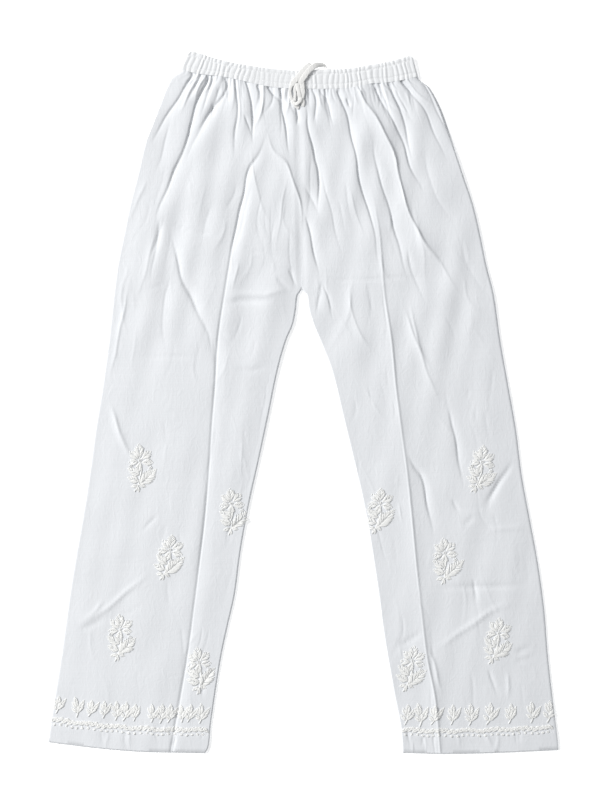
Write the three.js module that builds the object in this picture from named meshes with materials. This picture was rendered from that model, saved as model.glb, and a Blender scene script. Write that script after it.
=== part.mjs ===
// Straight cotton trousers with a gathered elastic waistband, a tied drawstring and embroidered
// sprigs, lying flat with the front up. Sizes are in millimetres. +X is the wearer's left,
// +Y runs from the hems up to the waist, and +Z is up from the surface that they lie on.

import * as THREE from 'three';

// Cloth and seams
const WALL = 1.2;
const SEAM_GAP = 0.3;
const FRONT_BASE = WALL + SEAM_GAP;
const HEM_DEPTH = 27;
const HEM_EXTRA = 0.5;

// How the cloth of the front falls to the seams round its edge
const EDGE_FALL = 18;
const CROTCH_Y = 157.5;

// Outer side seam of each leg, a row for each height, from the waistband down
const SIDE_SEAM = [
  { y: 466, right: -171.5, left: 152 },
  { y: 456, right: -182, left: 160.5 },
  { y: 445, right: -189, left: 172.5 },
  { y: 417, right: -200, left: 188 },
  { y: 384, right: -213, left: 201 },
  { y: 360, right: -222.5, left: 210 },
  { y: 318, right: -232.5, left: 224 },
  { y: 276, right: -243.5, left: 238 },
  { y: 234, right: -252, left: 248 },
  { y: 192, right: -260.5, left: 256.5 },
  { y: 150, right: -266, left: 267 },
  { y: 87, right: -273, left: 276 },
  { y: 24, right: -281.5, left: 287 },
  { y: -39, right: -291.5, left: 298 },
  { y: -102, right: -300, left: 306 },
  { y: -165, right: -310, left: 317.5 },
  { y: -228, right: -321, left: 329 },
  { y: -291, right: -330.5, left: 337.5 },
  { y: -354, right: -339, left: 342.5 },
  { y: -417, right: -349, left: 349.5 },
  { y: -476, right: -357, left: 356.6 },
  { y: -493, right: -357, left: 357.3 },
];

// Pressed crease down the middle of each leg, carried on up to the waistband
const CREASE = [
  { y: 466, right: -90, left: 80 },
  { y: 390, right: -84, left: 84 },
  { y: 318, right: -79, left: 92 },
  { y: 276, right: -86, left: 100 },
  { y: 234, right: -95.5, left: 107 },
  { y: 150, right: -110, left: 114 },
  { y: 87, right: -119, left: 123.5 },
  { y: 24, right: -123, left: 129.5 },
  { y: -39, right: -128, left: 137.5 },
  { y: -102, right: -132, left: 146 },
  { y: -165, right: -137.5, left: 152.5 },
  { y: -228, right: -145, left: 158.5 },
  { y: -291, right: -153, left: 165.5 },
  { y: -354, right: -161.5, left: 173 },
  { y: -417, right: -172.5, left: 185 },
  { y: -493, right: -186, left: 192 },
];

// Inseam of each leg, from the crotch down
const INSEAM = [
  { y: CROTCH_Y, right: -1.6, left: -1.2 },
  { y: 150, right: -7, left: 4.5 },
  { y: 129, right: -9.8, left: 7.5 },
  { y: 108, right: -14, left: 14 },
  { y: 87, right: -23, left: 23 },
  { y: 45, right: -35, left: 39 },
  { y: -18, right: -48, left: 54.5 },
  { y: -81, right: -61.5, left: 70 },
  { y: -144, right: -75.5, left: 84.5 },
  { y: -207, right: -87, left: 95.5 },
  { y: -270, right: -95.5, left: 105 },
  { y: -312, right: -105, left: 110.5 },
  { y: -354, right: -114, left: 117 },
  { y: -403, right: -122, left: 126 },
  { y: -452, right: -129, left: 135.5 },
  { y: -482, right: -132, left: 138.5 },
  { y: -493, right: -138, left: 139.5 },
];

// Centre front and back seam, from the waistband to the crotch
const CENTRE_SEAM = [
  { y: 466, x: -7 },
  { y: 360, x: -5.5 },
  { y: 260, x: -3.5 },
  { y: CROTCH_Y, x: -1.4 },
];

// Lower edge of each leg at its side seam, crease and inseam
const HEM = {
  right: { side: -476, crease: -490.5, inseam: -491.5 },
  left: { side: -487, crease: -492.5, inseam: -491 },
};
const TOP_BLEND = 14;

// Lower and upper edge of the waistband across the front
const WAISTBAND = [
  { x: -171, bottom: 466, top: 495.5 },
  { x: -154, bottom: 460, top: 490.2 },
  { x: -106, bottom: 453.5, top: 476 },
  { x: -66, bottom: 444.5, top: 469 },
  { x: -38, bottom: 439.5, top: 465.5 },
  { x: -6, bottom: 438, top: 463.5 },
  { x: 30, bottom: 437.5, top: 464.8 },
  { x: 64, bottom: 439, top: 466.2 },
  { x: 97, bottom: 445, top: 471.5 },
  { x: 119, bottom: 446.5, top: 476 },
  { x: 140, bottom: 450, top: 481.5 },
  { x: 161, bottom: 455, top: 488.5 },
];
const WAIST_END = {
  right: { bottom: -171.5, top: -161.5 },
  left: { bottom: 161, top: 154.5 },
};
const RIB_COUNT = 50;
const RIB_HEIGHT = 2;
const RIB_WAVES = [{ share: 0.3, turn: 1.7 }, { share: 0.2, turn: 0.61 }];
const BAND_END_SHARE = 0.8;
const BACK_BAND = 3.6;
const BAND_SLOT = 0.5;
const FRONT_BAND = 2.6;
const BAND_TURN = 3;
const BACK_BAND_STEPS = 36;

// Section of the band from its lower to its upper edge: puff is the share of a rib's height
// there, and drop is how far the edge rolls down
const BAND_SECTION = [
  { height: 0, puff: 0.25, drop: 1 },
  { height: 0.2, puff: 0.8, drop: 0.2 },
  { height: 0.5, puff: 1, drop: 0 },
  { height: 0.8, puff: 0.8, drop: 0.2 },
  { height: 1, puff: 0.25, drop: 1 },
];

// Columns of the flat back panels, and how far the left one shows past the front at the hip
const BACK_COLUMNS = { top: 28, leg: 6 };
const PEEK = 3;
const PEEK_Y = 405;
const PEEK_REACH = 60;

// Rise of the front over the back at each height, before its folds
const LOFT = [
  { y: 466, rise: 3.4 },
  { y: 400, rise: 4.2 },
  { y: 300, rise: 4 },
  { y: 157, rise: 3.2 },
  { y: 0, rise: 2.6 },
  { y: -250, rise: 2.1 },
  { y: -493, rise: 1.3 },
];

// Gathers that the elastic draws into the top of each front panel
const GATHERS = [
  { name: 'short', waves: 14, rise: 1.1, fade: 42, phase: 0 },
  { name: 'long', waves: 6, rise: 1, fade: 130, phase: 0.3 },
];

// Folds of the front. A valley has a negative rise, and reach is half its width.
const FOLDS = [
  { name: 'hip side', rise: -1.6, reach: 12, path: [[-154, 454], [-174, 424], [-214, 354]] },
  { name: 'hip long', rise: -2.6, reach: 14,
    path: [[-134, 454], [-141, 421], [-160, 371], [-185, 309], [-204, 260], [-206, 230]] },
  { name: 'hip second', rise: -1.6, reach: 11, path: [[-106, 449], [-126, 403], [-147, 371]] },
  { name: 'hip third', rise: -1.4, reach: 11, path: [[-95, 449], [-90, 421], [-97, 333]] },
  { name: 'hip fourth', rise: -2.2, reach: 11, path: [[-77, 448], [-71, 414], [-70, 374]] },
  { name: 'right of seam', rise: -2.2, reach: 12, path: [[-48, 438], [-29, 413], [-24, 371]] },
  { name: 'to the seam', rise: -1.8, reach: 13, path: [[-53, 382], [-21, 328], [-3, 272], [-1, 227]] },
  { name: 'left of seam', rise: -2.4, reach: 13, path: [[6, 406], [15, 371], [22, 321], [28, 253]] },
  { name: 'over the crotch', rise: -2.4, reach: 13, path: [[3, 266], [15, 213], [24, 172]] },
  { name: 'left thigh inner', rise: -2, reach: 13,
    path: [[53, 433], [64, 392], [73, 350], [83, 293], [97, 253], [109, 172]] },
  { name: 'left thigh main', rise: -3.2, reach: 15,
    path: [[80, 435], [105, 392], [129, 339], [141, 286], [161, 237], [206, 171], [231, 129]] },
  { name: 'left thigh middle', rise: -1.6, reach: 13,
    path: [[99, 377], [102, 333], [118, 280], [132, 227], [153, 148]] },
  { name: 'right crease top', rise: -2, reach: 16, path: [[-46, 381], [-76, 322], [-86, 276]] },
  { name: 'right thigh slant', rise: -1.5, reach: 15,
    path: [[-185, 245], [-171, 179], [-157, 147], [-134, 99], [-126, 66]] },
  { name: 'right thigh roll', rise: 1.2, reach: 15, path: [[-106, 150], [-25, 146]] },
  { name: 'right shin ridge', rise: 1.1, reach: 16, path: [[-273, 6], [-238, -80], [-234, -92]] },
  { name: 'right calf slant', rise: 1.2, reach: 18, path: [[-213, -239], [-259, -277], [-312, -312]] },
  { name: 'left knee ridge', rise: 1.3, reach: 17, path: [[139, 136], [176, 35], [192, -4]] },
  { name: 'left knee valley', rise: -1.2, reach: 16, path: [[203, -3], [214, -57], [225, -125]] },
  { name: 'left crease branch', rise: -1.3, reach: 16, path: [[143, -69], [167, -109], [185, -197]] },
  { name: 'left calf slant', rise: -1.2, reach: 18, path: [[294, -80], [260, -132], [249, -154]] },
  { name: 'left calf cross', rise: 1.2, reach: 16, path: [[237, -255], [326, -251]] },
];
const FOLD_TAPER = { run: 26, least: 0.35 };
const CREASE_PRESS = { right: -1.8, left: 1.8, reach: 34, start: 300, full: 200, sharpness: 1.5 };

// Grid of a leg: its rows and columns in each part of the length, with where that part ends
const LEG_GRID = {
  gathers: { depth: 48, rows: 5, columns: 42 },
  hip: { depth: 130, rows: 5, columns: 28 },
  rise: { rows: 8, columns: 24 },
  thigh: { down: 0.55, rows: 6, columns: 16 },
  calf: { rows: 10, columns: 14 },
  hem: { rows: 2, columns: 14 },
};
const CENTRE_SEAM_DIP = { rise: -0.9, reach: 9 };

// Places of the embroidered sprigs, with the tilt of each in degrees, anticlockwise
const SPRIG_LENGTH = 60;
const SPRIG_WIDTH = 38;
const SPRIGS = [
  { name: 'right_knee_outer', leg: 'right', x: -227, y: -92, tilt: 4 },
  { name: 'right_calf_middle', leg: 'right', x: -187, y: -217, tilt: -8 },
  { name: 'right_knee_inner', leg: 'right', x: -99, y: -152, tilt: 6 },
  { name: 'right_calf_outer', leg: 'right', x: -255, y: -328, tilt: 2 },
  { name: 'right_calf_inner', leg: 'right', x: -144, y: -374, tilt: 8 },
  { name: 'left_knee_outer', leg: 'left', x: 249, y: -94, tilt: -6 },
  { name: 'left_knee_inner', leg: 'left', x: 107, y: -152, tilt: -4 },
  { name: 'left_calf_middle', leg: 'left', x: 199, y: -221, tilt: 6 },
  { name: 'left_calf_outer', leg: 'left', x: 272, y: -333, tilt: -6 },
  { name: 'left_calf_inner', leg: 'left', x: 152, y: -372, tilt: -6 },
];

// Petals and leaves round a sprig. Angles are in degrees from its right hand, anticlockwise,
// and reach is a share of half its length.
const SPRIG_LOBES = [
  { part: 'top petal', angle: 90, reach: 1 },
  { part: 'petal', angle: 115, reach: 0.86 },
  { part: 'low petal', angle: 140, reach: 0.66 },
  { part: 'upper leaf', angle: 168, reach: 0.6 },
  { part: 'middle leaf', angle: 196, reach: 0.62 },
  { part: 'lower leaf', angle: 224, reach: 0.66 },
  { part: 'stem', angle: 258, reach: 0.98 },
  { part: 'foot leaf', angle: 290, reach: 0.9 },
  { part: 'large leaf', angle: 318, reach: 0.78 },
  { part: 'side leaf', angle: 346, reach: 0.62 },
  { part: 'shoulder leaf', angle: 14, reach: 0.6 },
  { part: 'low petal', angle: 40, reach: 0.66 },
  { part: 'petal', angle: 65, reach: 0.86 },
];
const WIDEST_REACH = 0.62;
const LOBE_HALF = 0.24;
const NOTCH = 0.8;
const STITCH_LIFT = 0.4;
const SPRIG_RINGS = [{ out: 0, rise: 1.1 }, { out: 0.5, rise: 1.1 }, { out: 1, rise: 0.5 }];

// Embroidered border above each hem: a leafy chain with a row of small sprigs on it
const BORDER = { y: -450, foot: 29, chain: 39, notch: 46, tip: 66, endGap: 6, rise: 0.7, rimShare: 0.6, wave: 1.2 };
const BORDER_LOBE = [0, 0.85, 1, 0.85];
const BORDER_SPRIGS = { right: 14, left: 9 };

// Drawstring: two flat ties that come up out of the waist, over the front of the band, to a knot
const TIE_WIDTH = 6.5;
const TIE_THICK = 2.4;
const TIE_SIDES = 10;
const TIE_STEPS = 18;
const TIE_ROUTES = {
  drawstring_right: [
    [7.8, 468.1, 3.2], [10.3, 471, 3.9], [11.8, 472.6, 6.9], [10.3, 471, 9.9],
    [7.2, 467.4, 10.6], [-3, 456, 10.5], [-11, 447, 10.4], [-15, 441.3, 10.4],
  ],
  drawstring_left: [
    [21.9, 469.4, 3.2], [25.1, 471.4, 3.9], [27, 472.6, 6.9], [25.1, 471.4, 9.9],
    [21, 468.9, 10.8], [14.2, 463.6, 11], [7, 455.6, 11], [0.6, 446.8, 10.7], [-3.6, 441.1, 10.4],
  ],
};
const KNOT = { x: -9, y: 424.5, z: 10.7, width: 21, length: 31, height: 7.6, around: 16, levels: 10 };
const KNOT_LUMPS = { count: 3, share: 0.08 };

// Colours of the finishes
const COTTON = { color: 0xe7e9ed, roughness: 0.85, metalness: 0 };
const THREAD = { color: 0xf8f8f4, roughness: 0.7, metalness: 0 };
const TIE_CLOTH = { color: 0xf0efec, roughness: 0.8, metalness: 0 };

const clamp = (value, low, high) => Math.min(Math.max(value, low), high);
const mix = (a, b, share) => a + (b - a) * share;
const ease = (share) => share * share * (3 - 2 * share);

// Smooth reading of a table column at a place between its rows
function readTable(rows, key, place, column) {
  const rising = rows[1][key] > rows[0][key];
  const last = rows.length - 1;
  let i = 0;
  while (i < last - 1 && rising === place > rows[i + 1][key]) i += 1;
  const slope = (k) => {
    const before = rows[Math.max(k - 1, 0)];
    const after = rows[Math.min(k + 1, last)];
    return (after[column] - before[column]) / (after[key] - before[key]);
  };
  const span = rows[i + 1][key] - rows[i][key];
  const t = clamp((place - rows[i][key]) / span, 0, 1);
  const start = rows[i][column] * (1 + 2 * t) * (1 - t) ** 2;
  const end = rows[i + 1][column] * t * t * (3 - 2 * t);
  const leave = slope(i) * span * t * (1 - t) ** 2;
  const arrive = slope(i + 1) * span * t * t * (t - 1);
  return start + end + leave + arrive;
}

// Shortest distance from a point to a path, and how far along the path that is
function nearestOnPath(path, x, y) {
  let best = { distance: Infinity, along: 0, total: 0 };
  let travelled = 0;
  for (let i = 0; i + 1 < path.length; i += 1) {
    const [ax, ay] = path[i];
    const [bx, by] = path[i + 1];
    const length = Math.hypot(bx - ax, by - ay);
    const t = clamp(((x - ax) * (bx - ax) + (y - ay) * (by - ay)) / length ** 2, 0, 1);
    const distance = Math.hypot(x - mix(ax, bx, t), y - mix(ay, by, t));
    if (distance < best.distance) best = { distance, along: travelled + t * length };
    travelled += length;
  }
  return { ...best, total: travelled };
}

// Soft bump that is 1 on a line and 0 at its reach
function bump(distance, reach) {
  const share = clamp(distance / reach, 0, 1);
  return (1 - share * share) ** 2;
}

// Side seam, crease and inner edge of a leg at one height
function legEdges(leg, y) {
  const seamSide = leg === 'right' ? -1 : 1;
  const centre = readTable(CENTRE_SEAM, 'y', y, 'x') + (seamSide * SEAM_GAP) / 2;
  const inner = y >= CROTCH_Y ? centre : readTable(INSEAM, 'y', y, leg);
  return {
    side: readTable(SIDE_SEAM, 'y', y, leg),
    crease: readTable(CREASE, 'y', y, leg),
    inner,
  };
}

// Place across a leg, from 0 at its -X edge to 1 at its +X edge, with the crease at 0.5
function acrossAt(leg, x, y) {
  const edges = legEdges(leg, y);
  const [low, high] = leg === 'right' ? [edges.side, edges.inner] : [edges.inner, edges.side];
  if (x < edges.crease) return (0.5 * (x - low)) / (edges.crease - low);
  return 0.5 + (0.5 * (x - edges.crease)) / (high - edges.crease);
}

function xAcross(leg, across, y) {
  const edges = legEdges(leg, y);
  const [low, high] = leg === 'right' ? [edges.side, edges.inner] : [edges.inner, edges.side];
  if (across < 0.5) return mix(low, edges.crease, across * 2);
  return mix(edges.crease, high, across * 2 - 1);
}

// Lower edge of a leg at a place across it
function hemLine(leg, across) {
  const { side, crease, inseam } = HEM[leg];
  const fromSide = leg === 'right' ? across : 1 - across;
  if (fromSide < 0.5) return mix(side, crease, Math.sin(fromSide * Math.PI));
  return mix(crease, inseam, fromSide * 2 - 1);
}

// Top edge of a leg panel, where it is sewn to the waistband
function topPoint(leg, across) {
  const [low, high] = leg === 'right'
    ? [WAIST_END.right.bottom, CENTRE_SEAM[0].x - SEAM_GAP / 2]
    : [CENTRE_SEAM[0].x + SEAM_GAP / 2, WAIST_END.left.bottom];
  const x = mix(low, high, across);
  return { x, y: readTable(WAISTBAND, 'x', x, 'bottom') - SEAM_GAP };
}

// Point of a leg's outline grid: across it, and down it from 0 at the waist to 1 at the hem
function legPoint(leg, across, down) {
  const top = topPoint(leg, across);
  const y = mix(top.y, hemLine(leg, across), down);
  const blend = ease(clamp((top.y - y) / TOP_BLEND, 0, 1));
  return { x: mix(top.x, xAcross(leg, across, y), blend), y };
}

// Height of the front over the back at a point, with its loft, folds and gathers
function frontRise(leg, x, y) {
  const edges = legEdges(leg, y);
  const toSide = Math.abs(x - edges.side);
  const toInseam = y < CROTCH_Y ? Math.abs(x - edges.inner) : Math.hypot(x - edges.inner, y - CROTCH_Y);
  const edgeShare = ease(clamp(Math.min(toSide, toInseam) / EDGE_FALL, 0, 1));
  let rise = readTable(LOFT, 'y', y, 'rise');
  for (const fold of FOLDS) {
    const near = nearestOnPath(fold.path, x, y);
    if (near.distance > fold.reach) continue;
    const fromEnd = Math.min(near.along, near.total - near.along);
    const taper = mix(FOLD_TAPER.least, 1, ease(clamp(fromEnd / FOLD_TAPER.run, 0, 1)));
    rise += fold.rise * bump(near.distance, fold.reach) * taper;
  }
  const press = ease(clamp((CREASE_PRESS.start - y) / (CREASE_PRESS.start - CREASE_PRESS.full), 0, 1));
  const offCrease = clamp(Math.abs(x - edges.crease) / CREASE_PRESS.reach, 0, 1);
  rise += CREASE_PRESS[leg] * press * (1 - offCrease) ** CREASE_PRESS.sharpness;
  if (y > CROTCH_Y) {
    rise += CENTRE_SEAM_DIP.rise * bump(Math.abs(x - edges.inner), CENTRE_SEAM_DIP.reach);
  }
  const across = acrossAt(leg, x, y);
  const belowBand = readTable(WAISTBAND, 'x', x, 'bottom') - y;
  for (const gather of GATHERS) {
    const strength = gather.rise * Math.exp(-Math.max(belowBand, 0) / gather.fade);
    rise += strength * Math.cos(2 * Math.PI * (across * gather.waves + gather.phase));
  }
  return Math.max(rise, 0) * edgeShare;
}

// Extra thickness of the turned-up hem
function hemExtra(down, length) {
  const aboveHem = (1 - down) * length;
  return aboveHem < HEM_DEPTH ? HEM_EXTRA : 0;
}

// Closed mesh from points and triangles, turned so that its faces point out
function closedGeometry(points, triangles) {
  let volume = 0;
  for (const [a, b, c] of triangles) {
    const [p, q, r] = [points[a], points[b], points[c]];
    volume += p.x * (q.y * r.z - q.z * r.y) + p.y * (q.z * r.x - q.x * r.z) + p.z * (q.x * r.y - q.y * r.x);
  }
  const turned = volume < 0 ? triangles.map(([a, b, c]) => [a, c, b]) : triangles;
  const geometry = new THREE.BufferGeometry();
  const positions = points.flatMap((point) => [point.x, point.y, point.z]);
  geometry.setAttribute('position', new THREE.Float32BufferAttribute(positions, 3));
  geometry.setIndex(turned.flat());
  geometry.computeVertexNormals();
  return geometry;
}

// Triangles between two neighbouring rows of points, which may differ in number
function zipRows(upper, lower, indexOf) {
  const triangles = [];
  let i = 0;
  let j = 0;
  while (i < upper.length - 1 || j < lower.length - 1) {
    const upperNext = i < upper.length - 1 ? upper[i + 1].across : Infinity;
    const lowerNext = j < lower.length - 1 ? lower[j + 1].across : Infinity;
    if (upperNext <= lowerNext) {
      triangles.push([indexOf(upper[i]), indexOf(lower[j]), indexOf(upper[i + 1])]);
      i += 1;
    } else {
      triangles.push([indexOf(upper[i]), indexOf(lower[j]), indexOf(lower[j + 1])]);
      j += 1;
    }
  }
  return triangles;
}

// Closed wall from rows of points that each hold x, y, low, high and their place across
function wallGeometry(rows) {
  const flat = rows.flat();
  const order = new Map(flat.map((point, index) => [point, index]));
  const indexOf = (point) => order.get(point);
  const points = [
    ...flat.map(({ x, y, high }) => ({ x, y, z: high })),
    ...flat.map(({ x, y, low }) => ({ x, y, z: low })),
  ];
  const upper = rows.slice(1).flatMap((row, k) => zipRows(rows[k], row, indexOf));
  const under = flat.length;
  const triangles = [...upper, ...upper.map(([a, b, c]) => [a + under, c + under, b + under])];
  const rim = [
    ...rows[0],
    ...rows.slice(1).map((row) => row[row.length - 1]),
    ...rows[rows.length - 1].slice(0, -1).reverse(),
    ...rows.slice(1, -1).reverse().map((row) => row[0]),
  ].map(indexOf);
  rim.forEach((p, k) => {
    const q = rim[(k + 1) % rim.length];
    triangles.push([p, q, q + under], [p, q + under, p + under]);
  });
  return { geometry: closedGeometry(points, triangles), upper: upper.map((t) => t.map((k) => points[k])) };
}

// Height of a wall's upper side at a point, read on its own faces
function heightOn(faces, x, y) {
  let nearest = { miss: Infinity, z: 0 };
  for (const [a, b, c] of faces) {
    const area = (b.x - a.x) * (c.y - a.y) - (c.x - a.x) * (b.y - a.y);
    const toB = ((x - a.x) * (c.y - a.y) - (c.x - a.x) * (y - a.y)) / area;
    const toC = ((b.x - a.x) * (y - a.y) - (x - a.x) * (b.y - a.y)) / area;
    const miss = Math.max(-toB, -toC, toB + toC - 1, 0);
    if (miss < nearest.miss) nearest = { miss, z: a.z + toB * (b.z - a.z) + toC * (c.z - a.z) };
    if (miss === 0) break;
  }
  return nearest.z;
}

// Rows down a leg: fine over the gathers, and wider apart down the leg
function legRows(leg) {
  const innerTop = topPoint(leg, leg === 'right' ? 1 : 0).y;
  const innerHem = HEM[leg].inseam;
  const crotchDown = (innerTop - CROTCH_Y) / (innerTop - innerHem);
  const length = innerTop - innerHem;
  const hemDown = 1 - HEM_DEPTH / length;
  const bands = [
    { ...LEG_GRID.gathers, to: LEG_GRID.gathers.depth / length },
    { ...LEG_GRID.hip, to: LEG_GRID.hip.depth / length },
    { ...LEG_GRID.rise, to: crotchDown },
    { ...LEG_GRID.thigh, to: LEG_GRID.thigh.down },
    { ...LEG_GRID.calf, to: hemDown },
    { ...LEG_GRID.hem, to: 1 },
  ];
  const rows = [{ down: 0, columns: bands[0].columns }];
  let from = 0;
  for (const band of bands) {
    for (let k = 1; k <= band.rows; k += 1) {
      rows.push({ down: mix(from, band.to, k / band.rows), columns: band.columns });
    }
    from = band.to;
  }
  return { rows, length };
}

// Front panel of a leg, a thin wall that follows its gathers and folds
function frontLeg(leg) {
  const { rows, length } = legRows(leg);
  const grid = rows.map(({ down, columns }) => Array.from({ length: columns + 1 }, (_, k) => {
    const across = k / columns;
    const { x, y } = legPoint(leg, across, down);
    const low = FRONT_BASE + frontRise(leg, x, y);
    return { x, y, across, low, high: low + WALL + hemExtra(down, length) };
  }));
  return wallGeometry(grid);
}

// Back panel of a leg, flat on the surface, showing a little past the front at the left hip
function backLeg(leg) {
  const { rows } = legRows(leg);
  const kept = rows.filter((_, k) => k < 2 || k % 2 === 0 || k === rows.length - 1);
  const grid = kept.map(({ down }) => {
    const columns = down > 0 ? BACK_COLUMNS.leg : BACK_COLUMNS.top;
    return Array.from({ length: columns + 1 }, (_, k) => {
      const across = k / columns;
      const { x, y } = legPoint(leg, across, down);
      const show = leg === 'left' && k === columns ? PEEK * bump(Math.abs(y - PEEK_Y), PEEK_REACH) : 0;
      return { x: x + show, y, across, low: 0, high: WALL };
    });
  });
  return wallGeometry(grid).geometry;
}

// Point of the waistband: share runs along it from its right end, and height up it
function bandPoint(share, height) {
  const bottomX = mix(WAIST_END.right.bottom, WAIST_END.left.bottom, share);
  const topX = mix(WAIST_END.right.top, WAIST_END.left.top, share);
  const bottom = readTable(WAISTBAND, 'x', bottomX, 'bottom');
  const top = readTable(WAISTBAND, 'x', topX, 'top');
  return { x: mix(bottomX, topX, height), y: mix(bottom, top, height) };
}

// Cross-section of the band at one place: its outer rows, then its plain inner side
function bandSection(share, outerHeight, inner, innerShare = share) {
  return [
    ...BAND_SECTION.map((row) => ({ ...bandPoint(share, row.height), z: outerHeight(row) })),
    { ...bandPoint(innerShare, 1), z: inner },
    { ...bandPoint(innerShare, 0), z: inner },
  ];
}

// Closed mesh of a ring of sections that all have the same number of points
function ringGeometry(sections) {
  const around = sections[0].length;
  const triangles = [];
  sections.forEach((_, s) => {
    const next = (s + 1) % sections.length;
    for (let k = 0; k < around; k += 1) {
      const after = (k + 1) % around;
      const [a, b] = [s * around + k, s * around + after];
      const [c, d] = [next * around + after, next * around + k];
      triangles.push([a, b, c], [a, c, d]);
    }
  });
  return closedGeometry(sections.flat(), triangles);
}

// Waistband: an elastic casing sewn into a ring, its ribs raised on the front's outer side
function waistband() {
  const frontInner = BACK_BAND + BAND_SLOT;
  const frontOuter = frontInner + FRONT_BAND;
  const middle = (frontInner + BACK_BAND) / 2;
  const turn = BAND_TURN / (WAIST_END.left.bottom - WAIST_END.right.bottom);
  const sections = [];
  for (let k = 0; k <= RIB_COUNT * 2; k += 1) {
    const uneven = RIB_WAVES.reduce((sum, wave) => sum + wave.share * Math.sin(k * wave.turn), 1);
    const rib = k % 2 === 1 ? RIB_HEIGHT * uneven : 0;
    const outerHeight = (row) => frontOuter + rib * row.puff - row.drop;
    sections.push(bandSection(mix(turn, 1 - turn, k / (RIB_COUNT * 2)), outerHeight, frontInner));
  }
  sections.push(bandSection(1, () => middle, middle, 1 - turn * BAND_END_SHARE));
  for (let k = BACK_BAND_STEPS; k >= 0; k -= 1) {
    sections.push(bandSection(mix(turn, 1 - turn, k / BACK_BAND_STEPS), () => 0, BACK_BAND));
  }
  sections.push(bandSection(0, () => middle, middle, turn * BAND_END_SHARE));
  return ringGeometry(sections);
}

// Rim of a sprig: each lobe has a round tip, with a notch before the next one
function sprigRim() {
  const rim = [];
  SPRIG_LOBES.forEach((lobe, k) => {
    const next = SPRIG_LOBES[(k + 1) % SPRIG_LOBES.length];
    const step = (next.angle - lobe.angle + 720) % 360;
    rim.push({ angle: lobe.angle - step * LOBE_HALF, reach: lobe.reach });
    rim.push({ angle: lobe.angle + step * LOBE_HALF, reach: lobe.reach });
    rim.push({ angle: lobe.angle + step * 0.5, reach: Math.min(lobe.reach, next.reach) * NOTCH });
  });
  return rim;
}

// Embroidered sprig, a padded patch of stitches on the face of a front panel
function sprig(row, faces) {
  const rim = sprigRim();
  const tilt = THREE.MathUtils.degToRad(row.tilt);
  const high = SPRIG_RINGS.map((ring) => ring.rise);
  const grid = SPRIG_RINGS.map((ring) => rim.map(({ angle, reach }) => {
    const turn = THREE.MathUtils.degToRad(angle);
    const side = (Math.cos(turn) * reach * ring.out * SPRIG_WIDTH) / 2 / WIDEST_REACH;
    const up = (Math.sin(turn) * reach * ring.out * SPRIG_LENGTH) / 2;
    const x = row.x + side * Math.cos(tilt) - up * Math.sin(tilt);
    const y = row.y + side * Math.sin(tilt) + up * Math.cos(tilt);
    return { x, y, z: heightOn(faces, x, y) + STITCH_LIFT };
  }));
  const points = [];
  for (const lift of [1, 0]) {
    points.push({ ...grid[0][0], z: grid[0][0].z + lift * high[0] });
    for (const ring of [1, 2]) {
      points.push(...grid[ring].map((point) => ({ ...point, z: point.z + lift * high[ring] })));
    }
  }
  const count = rim.length;
  const layer = 1 + 2 * count;
  const triangles = [];
  for (let k = 0; k < count; k += 1) {
    const after = (k + 1) % count;
    const [a, b] = [1 + k, 1 + after];
    const [c, d] = [a + count, b + count];
    for (const [p, q, r] of [[0, a, b], [a, c, d], [a, d, b]]) {
      triangles.push([p, q, r], [p + layer, r + layer, q + layer]);
    }
    triangles.push([c, c + layer, d + layer], [c, d + layer, d]);
  }
  return closedGeometry(points, triangles);
}

// Embroidered border above a hem, its upper edge in one lobe for each small sprig
function hemBorder(leg, faces) {
  const count = BORDER_SPRIGS[leg];
  const columns = count * BORDER_LOBE.length;
  const lengthHere = (across) => topPoint(leg, across).y - hemLine(leg, across);
  const edges = legEdges(leg, BORDER.y);
  const low = Math.min(edges.side, edges.inner) + BORDER.endGap;
  const high = Math.max(edges.side, edges.inner) - BORDER.endGap;
  const rows = [3, 2, 1, 0].map((level) => Array.from({ length: columns + 1 }, (_, k) => {
    const across = acrossAt(leg, mix(low, high, k / columns), BORDER.y);
    const lobe = BORDER_LOBE[k % BORDER_LOBE.length];
    const wave = BORDER.wave * Math.cos((k * Math.PI) / 2);
    const topEdge = mix(BORDER.notch, BORDER.tip, lobe);
    const above = [BORDER.foot + wave, BORDER.chain, (BORDER.chain + topEdge) / 2, topEdge][level];
    const { x, y } = legPoint(leg, across, 1 - above / lengthHere(across));
    const under = heightOn(faces, x, y) + STITCH_LIFT;
    const edge = level === 0 || level === 3 ? BORDER.rimShare : 1;
    return { x, y, across, low: under, high: under + BORDER.rise * edge };
  }));
  return wallGeometry(rows).geometry;
}

// Flat tie of the drawstring, swept along its route
function tie(route) {
  const section = new THREE.Shape();
  for (let k = 0; k < TIE_SIDES; k += 1) {
    const turn = (2 * Math.PI * k) / TIE_SIDES;
    const [x, y] = [(TIE_THICK / 2) * Math.cos(turn), (TIE_WIDTH / 2) * Math.sin(turn)];
    if (k === 0) section.moveTo(x, y);
    else section.lineTo(x, y);
  }
  section.closePath();
  const path = new THREE.CatmullRomCurve3(route.map((point) => new THREE.Vector3(...point)));
  return new THREE.ExtrudeGeometry(section, { steps: TIE_STEPS, extrudePath: path, curveSegments: 1 });
}

// Knot at the ends of the ties, a soft lump with its turns raised on it
function knot() {
  const geometry = new THREE.SphereGeometry(1, KNOT.around, KNOT.levels);
  const position = geometry.getAttribute('position');
  for (let k = 0; k < position.count; k += 1) {
    const point = new THREE.Vector3().fromBufferAttribute(position, k);
    const turn = KNOT_LUMPS.count * Math.atan2(point.y, point.x);
    const lump = 1 + KNOT_LUMPS.share * Math.sin(turn) * Math.hypot(point.x, point.y);
    point.multiply(new THREE.Vector3(KNOT.width / 2, KNOT.length / 2, KNOT.height / 2));
    position.setXYZ(k, point.x * lump, point.y * lump, point.z);
  }
  geometry.translate(KNOT.x, KNOT.y, KNOT.z);
  return geometry;
}

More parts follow.
